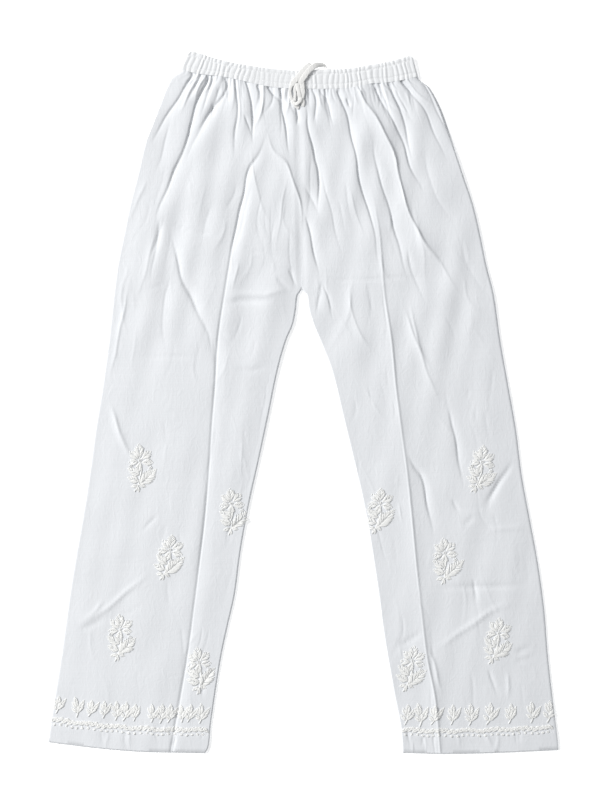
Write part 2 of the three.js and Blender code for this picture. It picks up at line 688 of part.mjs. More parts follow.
function named(name, geometry, finish) {
  const mesh = new THREE.Mesh(geometry, new THREE.MeshStandardMaterial(finish));
  mesh.name = name;
  return mesh;
}

const trousers = new THREE.Group();
for (const leg of ['right', 'left']) {
  const front = frontLeg(leg);
  trousers.add(named(`${leg}_front_leg`, front.geometry, COTTON));
  trousers.add(named(`${leg}_back_leg`, backLeg(leg), COTTON));
  trousers.add(named(`${leg}_hem_border`, hemBorder(leg, front.upper), THREAD));
  for (const row of SPRIGS.filter((each) => each.leg === leg)) {
    trousers.add(named(`sprig_${row.name}`, sprig(row, front.upper), THREAD));
  }
}
trousers.add(named('waistband', waistband(), COTTON));
for (const [name, route] of Object.entries(TIE_ROUTES)) {
  trousers.add(named(name, tie(route), TIE_CLOTH));
}
trousers.add(named('drawstring_knot', knot(), TIE_CLOTH));

export default trousers;
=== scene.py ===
"""Looks of straight cotton trousers with a gathered waist, lying flat with the front up.

Sizes here are in millimetres, and the meshes are made in metres. +X is the wearer's left,
+Y runs from the hems up to the waist, and +Z is up from the surface that the trousers lie on.
"""

import logging
import math
from dataclasses import dataclass, field
from enum import Enum
from typing import Callable, NamedTuple, Sequence

import bpy
import numpy as np
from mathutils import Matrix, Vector

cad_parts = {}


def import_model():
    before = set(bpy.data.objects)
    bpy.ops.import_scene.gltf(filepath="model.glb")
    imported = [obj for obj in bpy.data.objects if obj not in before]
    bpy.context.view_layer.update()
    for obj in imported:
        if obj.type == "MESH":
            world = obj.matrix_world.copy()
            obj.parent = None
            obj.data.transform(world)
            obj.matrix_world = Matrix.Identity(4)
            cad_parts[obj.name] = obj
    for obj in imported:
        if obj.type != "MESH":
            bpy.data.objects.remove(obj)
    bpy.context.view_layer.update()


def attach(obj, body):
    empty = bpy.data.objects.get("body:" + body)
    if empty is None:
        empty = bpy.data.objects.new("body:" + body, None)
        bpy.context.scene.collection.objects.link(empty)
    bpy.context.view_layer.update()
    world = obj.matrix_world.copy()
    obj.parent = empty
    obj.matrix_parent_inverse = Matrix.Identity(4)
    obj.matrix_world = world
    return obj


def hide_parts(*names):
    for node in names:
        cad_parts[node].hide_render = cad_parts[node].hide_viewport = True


Array = np.ndarray
Surface = Callable[[Array, Array], Array]
Finishes = dict[str, bpy.types.Material]
Range = tuple[float, float]
Triple = tuple[float, float, float]
Colour = tuple[float, float, float, float]
log = logging.getLogger("trousers")

MM = 0.001
BODY = "root"
SHARP_ANGLE = 55
UP = (0, 0, 1.0)

# Cloth and seams
WALL = 1.2
LAYER_GAP = 0.3
SEAM_GAP = 0.08
FRONT_BASE = WALL + LAYER_GAP
HEM_DEPTH = 27
HEM_EXTRA = 0.5
HEM_STEP = 1.6
HEM_LIP = 2.2
HEM_LIP_SHARE = 0.05
CROTCH_Y = 157.5
TOP_BLEND = 14


class Leg(Enum):
    """A leg of the trousers, with the side of the body that it is on along X."""

    RIGHT = -1
    LEFT = 1

    @property
    def label(self) -> str:
        """Name of the leg as the pieces write it."""
        return self.name.lower()


class SeamRow(NamedTuple):
    """Place of a seam or crease across both legs at one height."""

    y: float
    right: float
    left: float


class CentreRow(NamedTuple):
    """Place of the centre seam at one height."""

    y: float
    x: float


class BandRow(NamedTuple):
    """Lower and upper edge of the waistband at one place across the front."""

    x: float
    bottom: float
    top: float


class LoftRow(NamedTuple):
    """Rise of the front over the back at one height."""

    y: float
    rise: float


SIDE_SEAM = (
    SeamRow(466, -171.5, 152),
    SeamRow(456, -182, 160.5),
    SeamRow(445, -189, 172.5),
    SeamRow(417, -200, 188),
    SeamRow(384, -213, 201),
    SeamRow(360, -222.5, 210),
    SeamRow(318, -232.5, 224),
    SeamRow(276, -243.5, 238),
    SeamRow(234, -252, 248),
    SeamRow(192, -260.5, 256.5),
    SeamRow(150, -266, 267),
    SeamRow(87, -273, 276),
    SeamRow(24, -281.5, 287),
    SeamRow(-39, -291.5, 298),
    SeamRow(-102, -300, 306),
    SeamRow(-165, -310, 317.5),
    SeamRow(-228, -321, 329),
    SeamRow(-291, -330.5, 337.5),
    SeamRow(-354, -339, 342.5),
    SeamRow(-417, -349, 349.5),
    SeamRow(-476, -357, 356.6),
    SeamRow(-493, -357, 357.3),
)
CREASE = (
    SeamRow(466, -90, 80),
    SeamRow(390, -84, 84),
    SeamRow(318, -79, 92),
    SeamRow(276, -86, 100),
    SeamRow(234, -95.5, 107),
    SeamRow(150, -110, 114),
    SeamRow(87, -119, 123.5),
    SeamRow(24, -123, 129.5),
    SeamRow(-39, -128, 137.5),
    SeamRow(-102, -132, 146),
    SeamRow(-165, -137.5, 152.5),
    SeamRow(-228, -145, 158.5),
    SeamRow(-291, -153, 165.5),
    SeamRow(-354, -161.5, 173),
    SeamRow(-417, -172.5, 185),
    SeamRow(-493, -186, 192),
)
INSEAM = (
    SeamRow(CROTCH_Y, -1.6, -1.2),
    SeamRow(150, -7, 4.5),
    SeamRow(129, -9.8, 7.5),
    SeamRow(108, -14, 14),
    SeamRow(87, -23, 23),
    SeamRow(45, -35, 39),
    SeamRow(-18, -48, 54.5),
    SeamRow(-81, -61.5, 70),
    SeamRow(-144, -75.5, 84.5),
    SeamRow(-207, -87, 95.5),
    SeamRow(-270, -95.5, 105),
    SeamRow(-312, -105, 110.5),
    SeamRow(-354, -114, 117),
    SeamRow(-403, -122, 126),
    SeamRow(-452, -129, 135.5),
    SeamRow(-482, -132, 138.5),
    SeamRow(-493, -138, 139.5),
)
CENTRE_SEAM = (CentreRow(466, -7), CentreRow(360, -5.5), CentreRow(260, -3.5), CentreRow(CROTCH_Y, -1.4))


class HemRow(NamedTuple):
    """Lower edge of a leg at its side seam, crease and inseam."""

    side: float
    crease: float
    inseam: float


HEM = {Leg.RIGHT: HemRow(-476, -490.5, -491.5), Leg.LEFT: HemRow(-487, -492.5, -491)}

WAISTBAND = (
    BandRow(-171, 466, 495.5),
    BandRow(-154, 460, 490.2),
    BandRow(-106, 453.5, 476),
    BandRow(-66, 444.5, 469),
    BandRow(-38, 439.5, 465.5),
    BandRow(-6, 438, 463.5),
    BandRow(30, 437.5, 464.8),
    BandRow(64, 439, 466.2),
    BandRow(97, 445, 471.5),
    BandRow(119, 446.5, 476),
    BandRow(140, 450, 481.5),
    BandRow(161, 455, 488.5),
)
WAIST_BOTTOM = (-171.5, 161)
WAIST_TOP = (-161.5, 154.5)

LOFT = (
    LoftRow(466, 4),
    LoftRow(440, 4.2),
    LoftRow(400, 5.4),
    LoftRow(300, 5.2),
    LoftRow(157, 4.2),
    LoftRow(0, 3.6),
    LoftRow(-250, 3),
    LoftRow(-493, 1.7),
)


class Wave(NamedTuple):
    """A wave that makes something uneven: its size, its turn in radians for each step, and its start."""

    size: float
    turn: float
    start: float = 0.0

    def at(self, place: Array) -> Array:
        """Height of the wave at a place along it."""
        return self.size * np.sin(self.turn * place + self.start)


class Across(NamedTuple):
    """Cloth across a fold: up or down, how far each side runs out, and how much of it is sharp.

    The runs are shares of the fold's reach, and the sharp parts are shares of its depth.
    """

    rise: float
    west: float
    east: float
    west_sharp: float
    east_sharp: float


TROUGH = Across(-1, 0.42, 0.42, 0.15, 0.1)
RIDGE = Across(1, 0.3, 0.3, 0.1, 0.35)
PLEAT = Across(-1, 0.3, 0.6, 0.55, 0.25)
TUCK = Across(1, 0.4, 0.3, 0.2, 0.6)
CREST = Across(1, 0.6, 0.35, 0.2, 0.5)
PRESS = Across(-1, 0.2, 0.2, 0.4, 0.3)


class Fold(NamedTuple):
    """A listed fold: its depth, half its width, and the points that its line runs through."""

    part: str
    shape: Across
    depth: float
    reach: float
    path: tuple[tuple[float, float], ...]


FOLDS = (
    # Below the band on the right leg
    Fold("right hip a", PLEAT, 2.6, 15,
         ((-155, 461), (-154, 455), (-165, 440), (-179, 416), (-200, 384), (-214, 354))),
    Fold("right hip b", PLEAT, 3.4, 18,
         ((-136, 458), (-134, 452), (-139, 437), (-151, 412), (-157, 384), (-161, 367), (-185, 309),
          (-204, 260), (-206, 230))),
    Fold("right hip b end", TROUGH, 1.6, 12, ((-199, 259), (-206, 220), (-216, 197))),
    Fold("right hip b slant", TROUGH, 2, 15, ((-118, 436), (-128, 408), (-148, 372), (-166, 330))),
    Fold("right hip c", PLEAT, 1.8, 9, ((-127, 455), (-127, 448), (-133, 437), (-137, 424))),
    Fold("right hip d", PLEAT, 3, 16, ((-108, 451), (-106, 442), (-113, 426), (-126, 409), (-151, 374))),
    Fold("right hip d short", PLEAT, 1.6, 8, ((-125, 418), (-128, 396))),
    Fold("right hip e", PLEAT, 2.3, 13,
         ((-95, 451), (-94, 440), (-91, 423), (-91, 406), (-94, 381), (-97, 333))),
    Fold("right hip f", PLEAT, 3.2, 16,
         ((-80, 448), (-76, 434), (-71, 416), (-70, 395), (-71, 377), (-69, 356))),
    Fold("right hip f short", PLEAT, 1.4, 8, ((-82, 404), (-75, 384), (-71, 368))),
    Fold("right hip g", PLEAT, 1.7, 9, ((-63, 441), (-60, 430), (-62, 414))),
    Fold("right front h", PLEAT, 3.2, 15,
         ((-49, 440), (-43, 430), (-32, 421), (-27, 402), (-22, 367), (-17, 340))),
    Fold("right front h short", PLEAT, 2.6, 8, ((-32, 438), (-29, 423), (-27, 408))),
    Fold("right front i", PLEAT, 2, 7, ((-11, 414), (-8, 397), (-8, 384))),
    Fold("right front j", CREST, 2.2, 15, ((-53, 382), (-40, 350), (-21, 328), (-3, 272), (-1, 227))),
    # Below the band on the left leg
    Fold("left front k", PLEAT, 3.2, 14,
         ((3, 421), (6, 402), (7, 388), (11, 367), (17, 340), (22, 321), (22, 266), (28, 253))),
    Fold("left front k side", TROUGH, 1.6, 8, ((14, 437), (18, 423), (17, 402), (20, 381))),
    Fold("left front l", TROUGH, 1.5, 11, ((0, 307), (12, 284), (24, 259))),
    Fold("left front m", PLEAT, 2.8, 14, ((3, 266), (15, 213), (24, 172))),
    Fold("left front n", PLEAT, 1.9, 11, ((24, 434), (34, 419), (39, 402), (44, 384))),
    Fold("left hip o", PLEAT, 2.6, 14,
         ((49, 433), (59, 409), (66, 381), (73, 350), (83, 293), (97, 253), (109, 172))),
    Fold("left hip o short", PLEAT, 1.9, 7, ((60, 425), (66, 410))),
    Fold("left hip p", CREST, 3.8, 22,
         ((80, 434), (87, 419), (101, 398), (115, 374), (129, 339), (141, 286), (161, 237), (188, 199),
          (206, 171), (231, 129))),
    Fold("left hip p short", PLEAT, 1.9, 9, ((98, 444), (107, 423), (106, 408))),
    Fold("left hip q", PLEAT, 2.3, 14, ((99, 377), (102, 333), (118, 280), (132, 227), (153, 148))),
    Fold("left hip r", PLEAT, 2.6, 15,
         ((102, 437), (112, 416), (125, 395), (139, 367), (150, 330), (175, 283))),
    Fold("left hip s", PLEAT, 2.2, 12, ((119, 442), (133, 417), (140, 395), (147, 367), (154, 326))),
    Fold("left hip t", PLEAT, 2.2, 14, ((137, 448), (157, 426), (171, 406), (190, 362), (205, 330))),
    Fold("left hip side", PLEAT, 1.8, 8, ((165, 450), (178, 428), (190, 402), (203, 372), (214, 345))),
    # Thighs and crotch
    Fold("right crease top", PLEAT, 2.6, 15,
         ((-46, 381), (-60, 350), (-76, 322), (-85, 280), (-97, 227), (-108, 162))),
    Fold("right thigh slant", PLEAT, 2.4, 16,
         ((-185, 245), (-171, 179), (-157, 147), (-134, 99), (-126, 66), (-118, 48))),
    Fold("right thigh press", PRESS, 0.9, 7, ((-190, 251), (-150, 238), (-111, 230))),
    Fold("right inner press", PRESS, 0.9, 7, ((-94, 220), (-58, 208), (-22, 199))),
    Fold("right knee press", PRESS, 0.8, 7, ((-245, 68), (-190, 63), (-138, 64))),
    Fold("right side line", TUCK, 1.2, 9, ((-241, 171), (-252, 120), (-262, 70), (-273, 19))),
    Fold("right thigh roll", RIDGE, 1.6, 10, ((-106, 152), (-60, 150), (-25, 156), (-12, 152))),
    Fold("right thigh under roll", TROUGH, 1.6, 12, ((-112, 140), (-75, 141), (-40, 143))),
    Fold("right inner knee dip", TROUGH, 1.2, 10, ((-97, 47), (-72, 44), (-46, 48))),
    Fold("crotch whisker right", PLEAT, 2, 9, ((-22, 188), (-14, 172), (-6, 156))),
    Fold("crotch whisker low", TROUGH, 1.2, 8, ((-40, 176), (-24, 162), (-12, 148))),
    Fold("left thigh press", PRESS, 1, 7, ((25, 172), (80, 171), (135, 173), (183, 174))),
    Fold("crotch whisker left", PLEAT, 1.8, 9, ((27, 169), (22, 146), (20, 120))),
    Fold("crotch whisker far", PLEAT, 1.6, 9, ((27, 169), (36, 142), (43, 112))),
    Fold("left knee ridge a", CREST, 1.8, 13, ((139, 136), (158, 85), (176, 35), (192, -4))),
    Fold("left knee ridge b", RIDGE, 1.2, 9, ((150, 143), (160, 87), (182, 36))),
    Fold("left knee valley", PLEAT, 2.3, 14, ((203, -3), (214, -57), (225, -125))),
    # Right calf
    Fold("right shin ridge", CREST, 1.8, 11,
         ((-273, 3), (-262, -24), (-250, -58), (-240, -80), (-234, -92))),
    Fold("right shin short", PRESS, 1.2, 8, ((-202, -158), (-214, -170), (-227, -182))),
    Fold("right calf slant", TUCK, 1.7, 9,
         ((-211, -236), (-238, -258), (-262, -279), (-290, -300), (-318, -318))),
    Fold("right calf slant low", RIDGE, 1.5, 9, ((-276, -276), (-295, -296), (-316, -311))),
    Fold("right calf fan", TROUGH, 1.2, 9, ((-318, -320), (-296, -312), (-272, -302))),
    Fold("right knee tuck", PLEAT, 2.2, 9, ((-80, -160), (-92, -170), (-103, -180), (-107, -194))),
    Fold("right ankle tuck", PLEAT, 2, 9, ((-118, -368), (-130, -380), (-138, -392), (-141, -417))),
    # Left calf
    Fold("left crease branch", PLEAT, 2.3, 12,
         ((143, -69), (156, -90), (167, -109), (179, -168), (185, -197))),
    Fold("left calf slant a", PLEAT, 2.1, 9, ((294, -80), (277, -108), (260, -132), (249, -154))),
    Fold("left calf slant b", PLEAT, 1.4, 8, ((298, -80), (284, -100), (272, -115), (251, -162))),
    Fold("left calf short a", TROUGH, 1.1, 8, ((240, -160), (221, -175))),
    Fold("left calf short b", TROUGH, 1.1, 8, ((207, -136), (221, -155))),
    Fold("left calf cross a", RIDGE, 1.2, 9, ((256, -178), (290, -176), (318, -178))),
    Fold("left calf cross b", TROUGH, 1.5, 9, ((180, -262), (237, -258), (280, -258), (324, -252))),
    Fold("left calf drop", TROUGH, 1.1, 7, ((237, -244), (242, -270), (240, -286))),
    Fold("left calf slant ridge", TUCK, 1.9, 9, ((298, -275), (255, -298), (215, -326), (178, -352))),
    Fold("left ankle cross", PLEAT, 1.6, 10, ((168, -322), (148, -332), (128, -345))),
    Fold("left calf cross c", TROUGH, 1.3, 8, ((294, -352), (308, -346), (324, -342))),
    Fold("left calf cross d", PRESS, 1.2, 9, ((293, -365), (310, -360), (330, -354))),
    Fold("left ankle drop a", PLEAT, 1.2, 8, ((258, -371), (266, -392), (272, -414))),
    Fold("left ankle drop b", RIDGE, 1.1, 8, ((286, -376), (288, -400), (284, -420))),
    Fold("left ankle branch", RIDGE, 1.6, 9, ((173, -342), (182, -362), (190, -392), (196, -410))),
)

# Folds are uneven along their lines. Those that start above this height come out of the band at full depth.
ROOM_BELOW_BAND = 430
FOLD_STEP = 4
FOLD_ROUND = 0.3
FOLD_SHARP = 2
FOLD_ROOM = 1.3

# Shares of a fold's line in which it opens and closes, and its width at the start and the end
FOLD_OPENS = 0.3
FOLD_CLOSES = 0.45
FOLD_WIDTHS = (0.75, 1.25)

# How a fold's depth and line change along it
FOLD_UNEVEN = Wave(0.22, 1 / 13)
FOLD_UNEVEN_SLOW = Wave(1, 1 / 31, 1)
FOLD_WANDER = Wave(0.7, 1 / 9)
WANDER_START = 5


class Press(NamedTuple):
    """Pressed crease of a leg: shape, depth and half width, and the heights where it starts and is full."""

    shape: Across
    depth: float
    reach: float
    start: float
    full: float


CREASE_PRESS = {
    Leg.RIGHT: Press(PLEAT, 1.9, 18, 300, 190),
    Leg.LEFT: Press(CREST, 2.1, 24, 300, 190),
}
PRESS_UNEVEN = Wave(0.2, 1 / 37)
CENTRE_DIP = 0.9
CENTRE_DIP_REACH = 9

# Gathers that run down from the band
RIBS_A_LEG = 24
RIB_RISE = 0.85
RIB_RUN = 13
RIB_RUN_WAVES = (Wave(0.5, 37, 1.2), Wave(0.3, 61, 0.4))


def clamp(value: Array, low: float, high: float) -> Array:
    """Value held between two limits."""
    return np.minimum(np.maximum(value, low), high)


def mix(a: Array, b: Array, share: Array) -> Array:
    """Value that is a share of the way from a to b."""
    return a + (b - a) * share


def ease(share: Array) -> Array:
    """Share from 0 to 1 that starts and ends gently."""
    share = clamp(share, 0, 1)
    return share * share * (3 - 2 * share)


def bump(distance: Array, reach: Array) -> Array:
    """Soft bump that is 1 on a line and 0 at its reach."""
    return (1 - clamp(np.abs(distance) / reach, 0, 1) ** 2) ** 2


class Curve:
    """Smooth line through the rows of a table."""

    def __init__(self, rows: Sequence[NamedTuple], key: str, column: str) -> None:
        """Reads two columns of a table.

        Args:
            rows: The table.
            key: Its column of places along the curve.
            column: Its column of values.
        """
        places = np.array([getattr(row, key) for row in rows], float)
        values = np.array([getattr(row, column) for row in rows], float)
        order = np.argsort(places)
        self.places, self.values = places[order], values[order]
        spots = np.arange(len(places))
        before, after = np.maximum(spots - 1, 0), np.minimum(spots + 1, len(spots) - 1)
        self.slopes = (self.values[after] - self.values[before]) / (self.places[after] - self.places[before])

    def at(self, place: Array) -> Array:
        """Value of the curve at a place.

        Args:
            place: How far along the curve it is.

        Returns:
            The value.
        """
        i = np.clip(np.searchsorted(self.places, place) - 1, 0, len(self.places) - 2)
        span = self.places[i + 1] - self.places[i]
        t = clamp((place - self.places[i]) / span, 0, 1)
        ends = self.values[i] * (1 + 2 * t) * (1 - t) ** 2 + self.values[i + 1] * t * t * (3 - 2 * t)
        leave = self.slopes[i] * span * t * (1 - t) ** 2
        return ends + leave + self.slopes[i + 1] * span * t * t * (t - 1)


BAND_BOTTOM = Curve(WAISTBAND, "x", "bottom")
BAND_TOP = Curve(WAISTBAND, "x", "top")


def smooth_path(points: Sequence[Sequence[float]], step: float) -> Array:
    """Points on a smooth line through the given ones.

    Args:
        points: The points that the line runs through.
        step: Distance between the points that are made.

    Returns:
        An array with a row for each point.
    """
    given = np.array(points, float)
    padded = np.concatenate([2 * given[:1] - given[1:2], given, 2 * given[-1:] - given[-2:-1]])
    made = []
    for k in range(1, len(padded) - 2):
        a, b, c, d = padded[k - 1:k + 3]
        count = max(2, int(np.linalg.norm(c - b) / step) + 1)
        t = np.arange(count)[:, None] / count
        made.append(0.5 * (2 * b + (c - a) * t + (2 * a - 5 * b + 4 * c - d) * t ** 2
                           + (3 * b - a - 3 * c + d) * t ** 3))
    return np.concatenate([*made, given[-1:]])


def nearest_on(path: Array, x: Array, y: Array) -> tuple[Array, Array]:
    """Nearest place on a path to each point.

    Args:
        path: Points of the path.
        x: Places along X.
        y: Places along Y.

    Returns:
        The distance, positive on the left hand of the path, and how far along the path it is.
    """
    best = np.full(x.shape, np.inf)
    side = np.ones(x.shape)
    along = np.zeros(x.shape)
    travelled = 0.0
    for (ax, ay), (bx, by) in zip(path[:-1], path[1:]):
        sx, sy = bx - ax, by - ay
        length = math.hypot(sx, sy)
        px, py = x - ax, y - ay
        t = clamp((px * sx + py * sy) / length ** 2, 0, 1)
        distance = np.hypot(px - t * sx, py - t * sy)
        closer = distance < best
        best = np.where(closer, distance, best)
        side = np.where(closer, np.where(sx * py - sy * px >= 0, 1.0, -1.0), side)
        along = np.where(closer, travelled + t * length, along)
        travelled += length
    return best * side, along


def fold_profile(cloth: Across, offset: Array, reach: Array) -> Array:
    """Height across a fold of depth 1.

    Args:
        cloth: How the cloth lies across the fold.
        offset: Distance from the fold's line, positive on the east of a line that runs down.
        reach: Distance at which the fold runs out.

    Returns:
        The height at each offset.
    """
    away = np.hypot(offset, FOLD_ROUND) - FOLD_ROUND
    west = offset < 0
    gentle = np.exp(-away / (np.where(west, cloth.west, cloth.east) * reach))
    sharp = clamp(1 - away / FOLD_SHARP, 0, 1)
    share = np.where(west, cloth.west_sharp, cloth.east_sharp)
    return cloth.rise * mix(gentle, sharp, share) * bump(offset, reach)


def fold_height(fold: Fold, line: Array, x: Array, y: Array) -> Array:
    """Height that a fold adds, uneven along its line and run out at its ends.

    Args:
        fold: The fold.
        line: Points of its smooth line.
        x: Places along X.
        y: Places along Y.

    Returns:
        The height at each point.
    """
    distance, along = nearest_on(line, x, y)
    share = along / np.linalg.norm(np.diff(line, axis=0), axis=1).sum()
    opening = ease(share / FOLD_OPENS) if line[0, 1] < ROOM_BELOW_BAND else 1.0
    taper = opening * ease((1 - share) / FOLD_CLOSES)
    uneven = 1 + FOLD_UNEVEN._replace(start=fold.reach).at(along) * FOLD_UNEVEN_SLOW.at(along)
    wander = FOLD_WANDER._replace(start=fold.depth * WANDER_START).at(along)
    profile = fold_profile(fold.shape, distance + wander, fold.reach * mix(*FOLD_WIDTHS, share))
    return fold.depth * profile * taper * uneven


@dataclass
class LegCut:
    """Outline of one leg's panels as they lie."""

    leg: Leg

    def __post_init__(self) -> None:
        """Reads the seams of this leg."""
        self.side_seam = Curve(SIDE_SEAM, "y", self.leg.label)
        self.crease_line = Curve(CREASE, "y", self.leg.label)
        self.inseam = Curve(INSEAM, "y", self.leg.label)
        self.centre = Curve(CENTRE_SEAM, "y", "x")

    def inner(self, y: Array) -> Array:
        """Place of the centre seam or the inseam at a height."""
        centre = self.centre.at(y) + self.leg.value * SEAM_GAP / 2
        return np.where(y >= CROTCH_Y, centre, self.inseam.at(y))

    def edges(self, y: Array) -> tuple[Array, Array, Array]:
        """Edges and crease of the leg at a height.

        Args:
            y: Height on the leg.

        Returns:
            The low edge, the crease and the high edge along X.
        """
        side, inner = self.side_seam.at(y), self.inner(y)
        low, high = (side, inner) if self.leg is Leg.RIGHT else (inner, side)
        return low, self.crease_line.at(y), high

    def across_of(self, x: Array, y: Array) -> Array:
        """How far across the leg each point is.

        Args:
            x: Places along X.
            y: Places along Y.

        Returns:
            The share from 0 to 1, with the crease at a half.
        """
        low, crease, high = self.edges(y)
        before = 0.5 * (x - low) / (crease - low)
        return np.where(x < crease, before, 0.5 + 0.5 * (x - crease) / (high - crease))

    def top(self, across: Array) -> tuple[Array, Array]:
        """Point of the top edge, where the panel is sewn to the band.

        Args:
            across: Share across the leg.

        Returns:
            Its places along X and Y.
        """
        middle = CENTRE_SEAM[0].x + self.leg.value * SEAM_GAP / 2
        ends = (WAIST_BOTTOM[0], middle) if self.leg is Leg.RIGHT else (middle, WAIST_BOTTOM[1])
        x = mix(ends[0], ends[1], across)
        return x, BAND_BOTTOM.at(x) - SEAM_GAP

    def sides(self, y: Array) -> tuple[Array, Array]:
        """Sides of the panel at a height, drawn in to the ends of its top edge.

        Args:
            y: Height on the leg.

        Returns:
            The low side and the high side along X.
        """
        low, _, high = self.edges(y)
        (low_x, low_y), (high_x, high_y) = self.top(np.array(0.0)), self.top(np.array(1.0))
        low = mix(low_x, low, ease((low_y - y) / TOP_BLEND))
        return low, mix(high_x, high, ease((high_y - y) / TOP_BLEND))

    def hem(self, across: Array) -> Array:
        """Lower edge of the leg.

        Args:
            across: Share across the leg.

        Returns:
            Its place along Y.
        """
        row = HEM[self.leg]
        from_side = across if self.leg is Leg.RIGHT else 1 - across
        outer = mix(row.side, row.crease, np.sin(from_side * math.pi))
        return np.where(from_side < 0.5, outer, mix(row.crease, row.inseam, from_side * 2 - 1))

    def point(self, across: Array, down: Array) -> tuple[Array, Array]:
        """Point of the panel.

        Args:
            across: Share across the panel.
            down: Share down it, from the waist to the hem.

        Returns:
            Its places along X and Y.
        """
        top_x, top_y = self.top(across)
        y = mix(top_y, self.hem(across), down)
        low, crease, high = self.edges(y)
        leg_x = np.where(across < 0.5, mix(low, crease, across * 2), mix(crease, high, across * 2 - 1))
        return mix(top_x, leg_x, ease((top_y - y) / TOP_BLEND)), y


@dataclass
class Ribs:
    """Round gathers that the elastic draws up on one leg's side of the waist, uneven in width and height."""

    leg: Leg
    seed: int = 5
    uneven_width: float = 0.3
    heights: Range = (0.45, 1.15)
    calm_middle: float = -46
    calm_reach: float = 44
    calm: float = 0.6
    round_off: float = 0.02

    def __post_init__(self) -> None:
        """Draws the width and the height of each rib."""
        dice = np.random.default_rng(self.seed + self.leg.value)
        widths = 1 + self.uneven_width * dice.uniform(-1, 1, RIBS_A_LEG)
        self.edges = np.concatenate([[0], np.cumsum(widths)]) / widths.sum()
        self.sizes = dice.uniform(*self.heights, RIBS_A_LEG)
        middle = CENTRE_SEAM[0].x
        self.ends = (WAIST_BOTTOM[0], middle) if self.leg is Leg.RIGHT else (middle, WAIST_BOTTOM[1])

    def share_at(self, x: Array) -> Array:
        """Share across the leg of a place along the lower edge of the band."""
        return clamp((x - self.ends[0]) / (self.ends[1] - self.ends[0]), 0, 1)

    def height(self, share: Array, shift: Array = 0.0) -> Array:
        """Height of the ribs.

        Args:
            share: Place from 0 to 1 across the leg.
            shift: How far the ribs are moved on, counted in ribs.

        Returns:
            The height.
        """
        phase = np.interp(share, self.edges, np.arange(RIBS_A_LEG + 1)) + shift
        size = np.interp(phase - 0.5, np.arange(RIBS_A_LEG), self.sizes)
        x = mix(self.ends[0], self.ends[1], share)
        flat = 1 - self.calm * bump(x - self.calm_middle, self.calm_reach)
        return RIB_RISE * size * flat * np.sqrt(np.sin(math.pi * phase) ** 2 + self.round_off)


@dataclass
class Swells:
    """Broad uneven swells of loose cloth, as a sum of long waves that mostly run down the leg."""

    seed: int = 3
    count: int = 16
    height: float = 0.2
    lengths: Range = (34, 120)
    lean: float = 0.5

    def __post_init__(self) -> None:
        """Draws the direction, length and place of each wave."""
        dice = np.random.default_rng(self.seed)
        angle = dice.normal(0, self.lean, self.count)
        pull = 2 * math.pi / dice.uniform(*self.lengths, self.count)
        self.across, self.along = pull * np.cos(angle), pull * np.sin(angle)
        self.phase = dice.uniform(0, 2 * math.pi, self.count)

    def at(self, x: Array, y: Array) -> Array:
        """Height of the swells.

        Args:
            x: Places along X.
            y: Places along Y.

        Returns:
            The height at each point.
        """
        rise = np.zeros(x.shape)
        for across, along, phase in zip(self.across, self.along, self.phase):
            rise += self.height * np.sin(across * x + along * y + phase)
        return rise


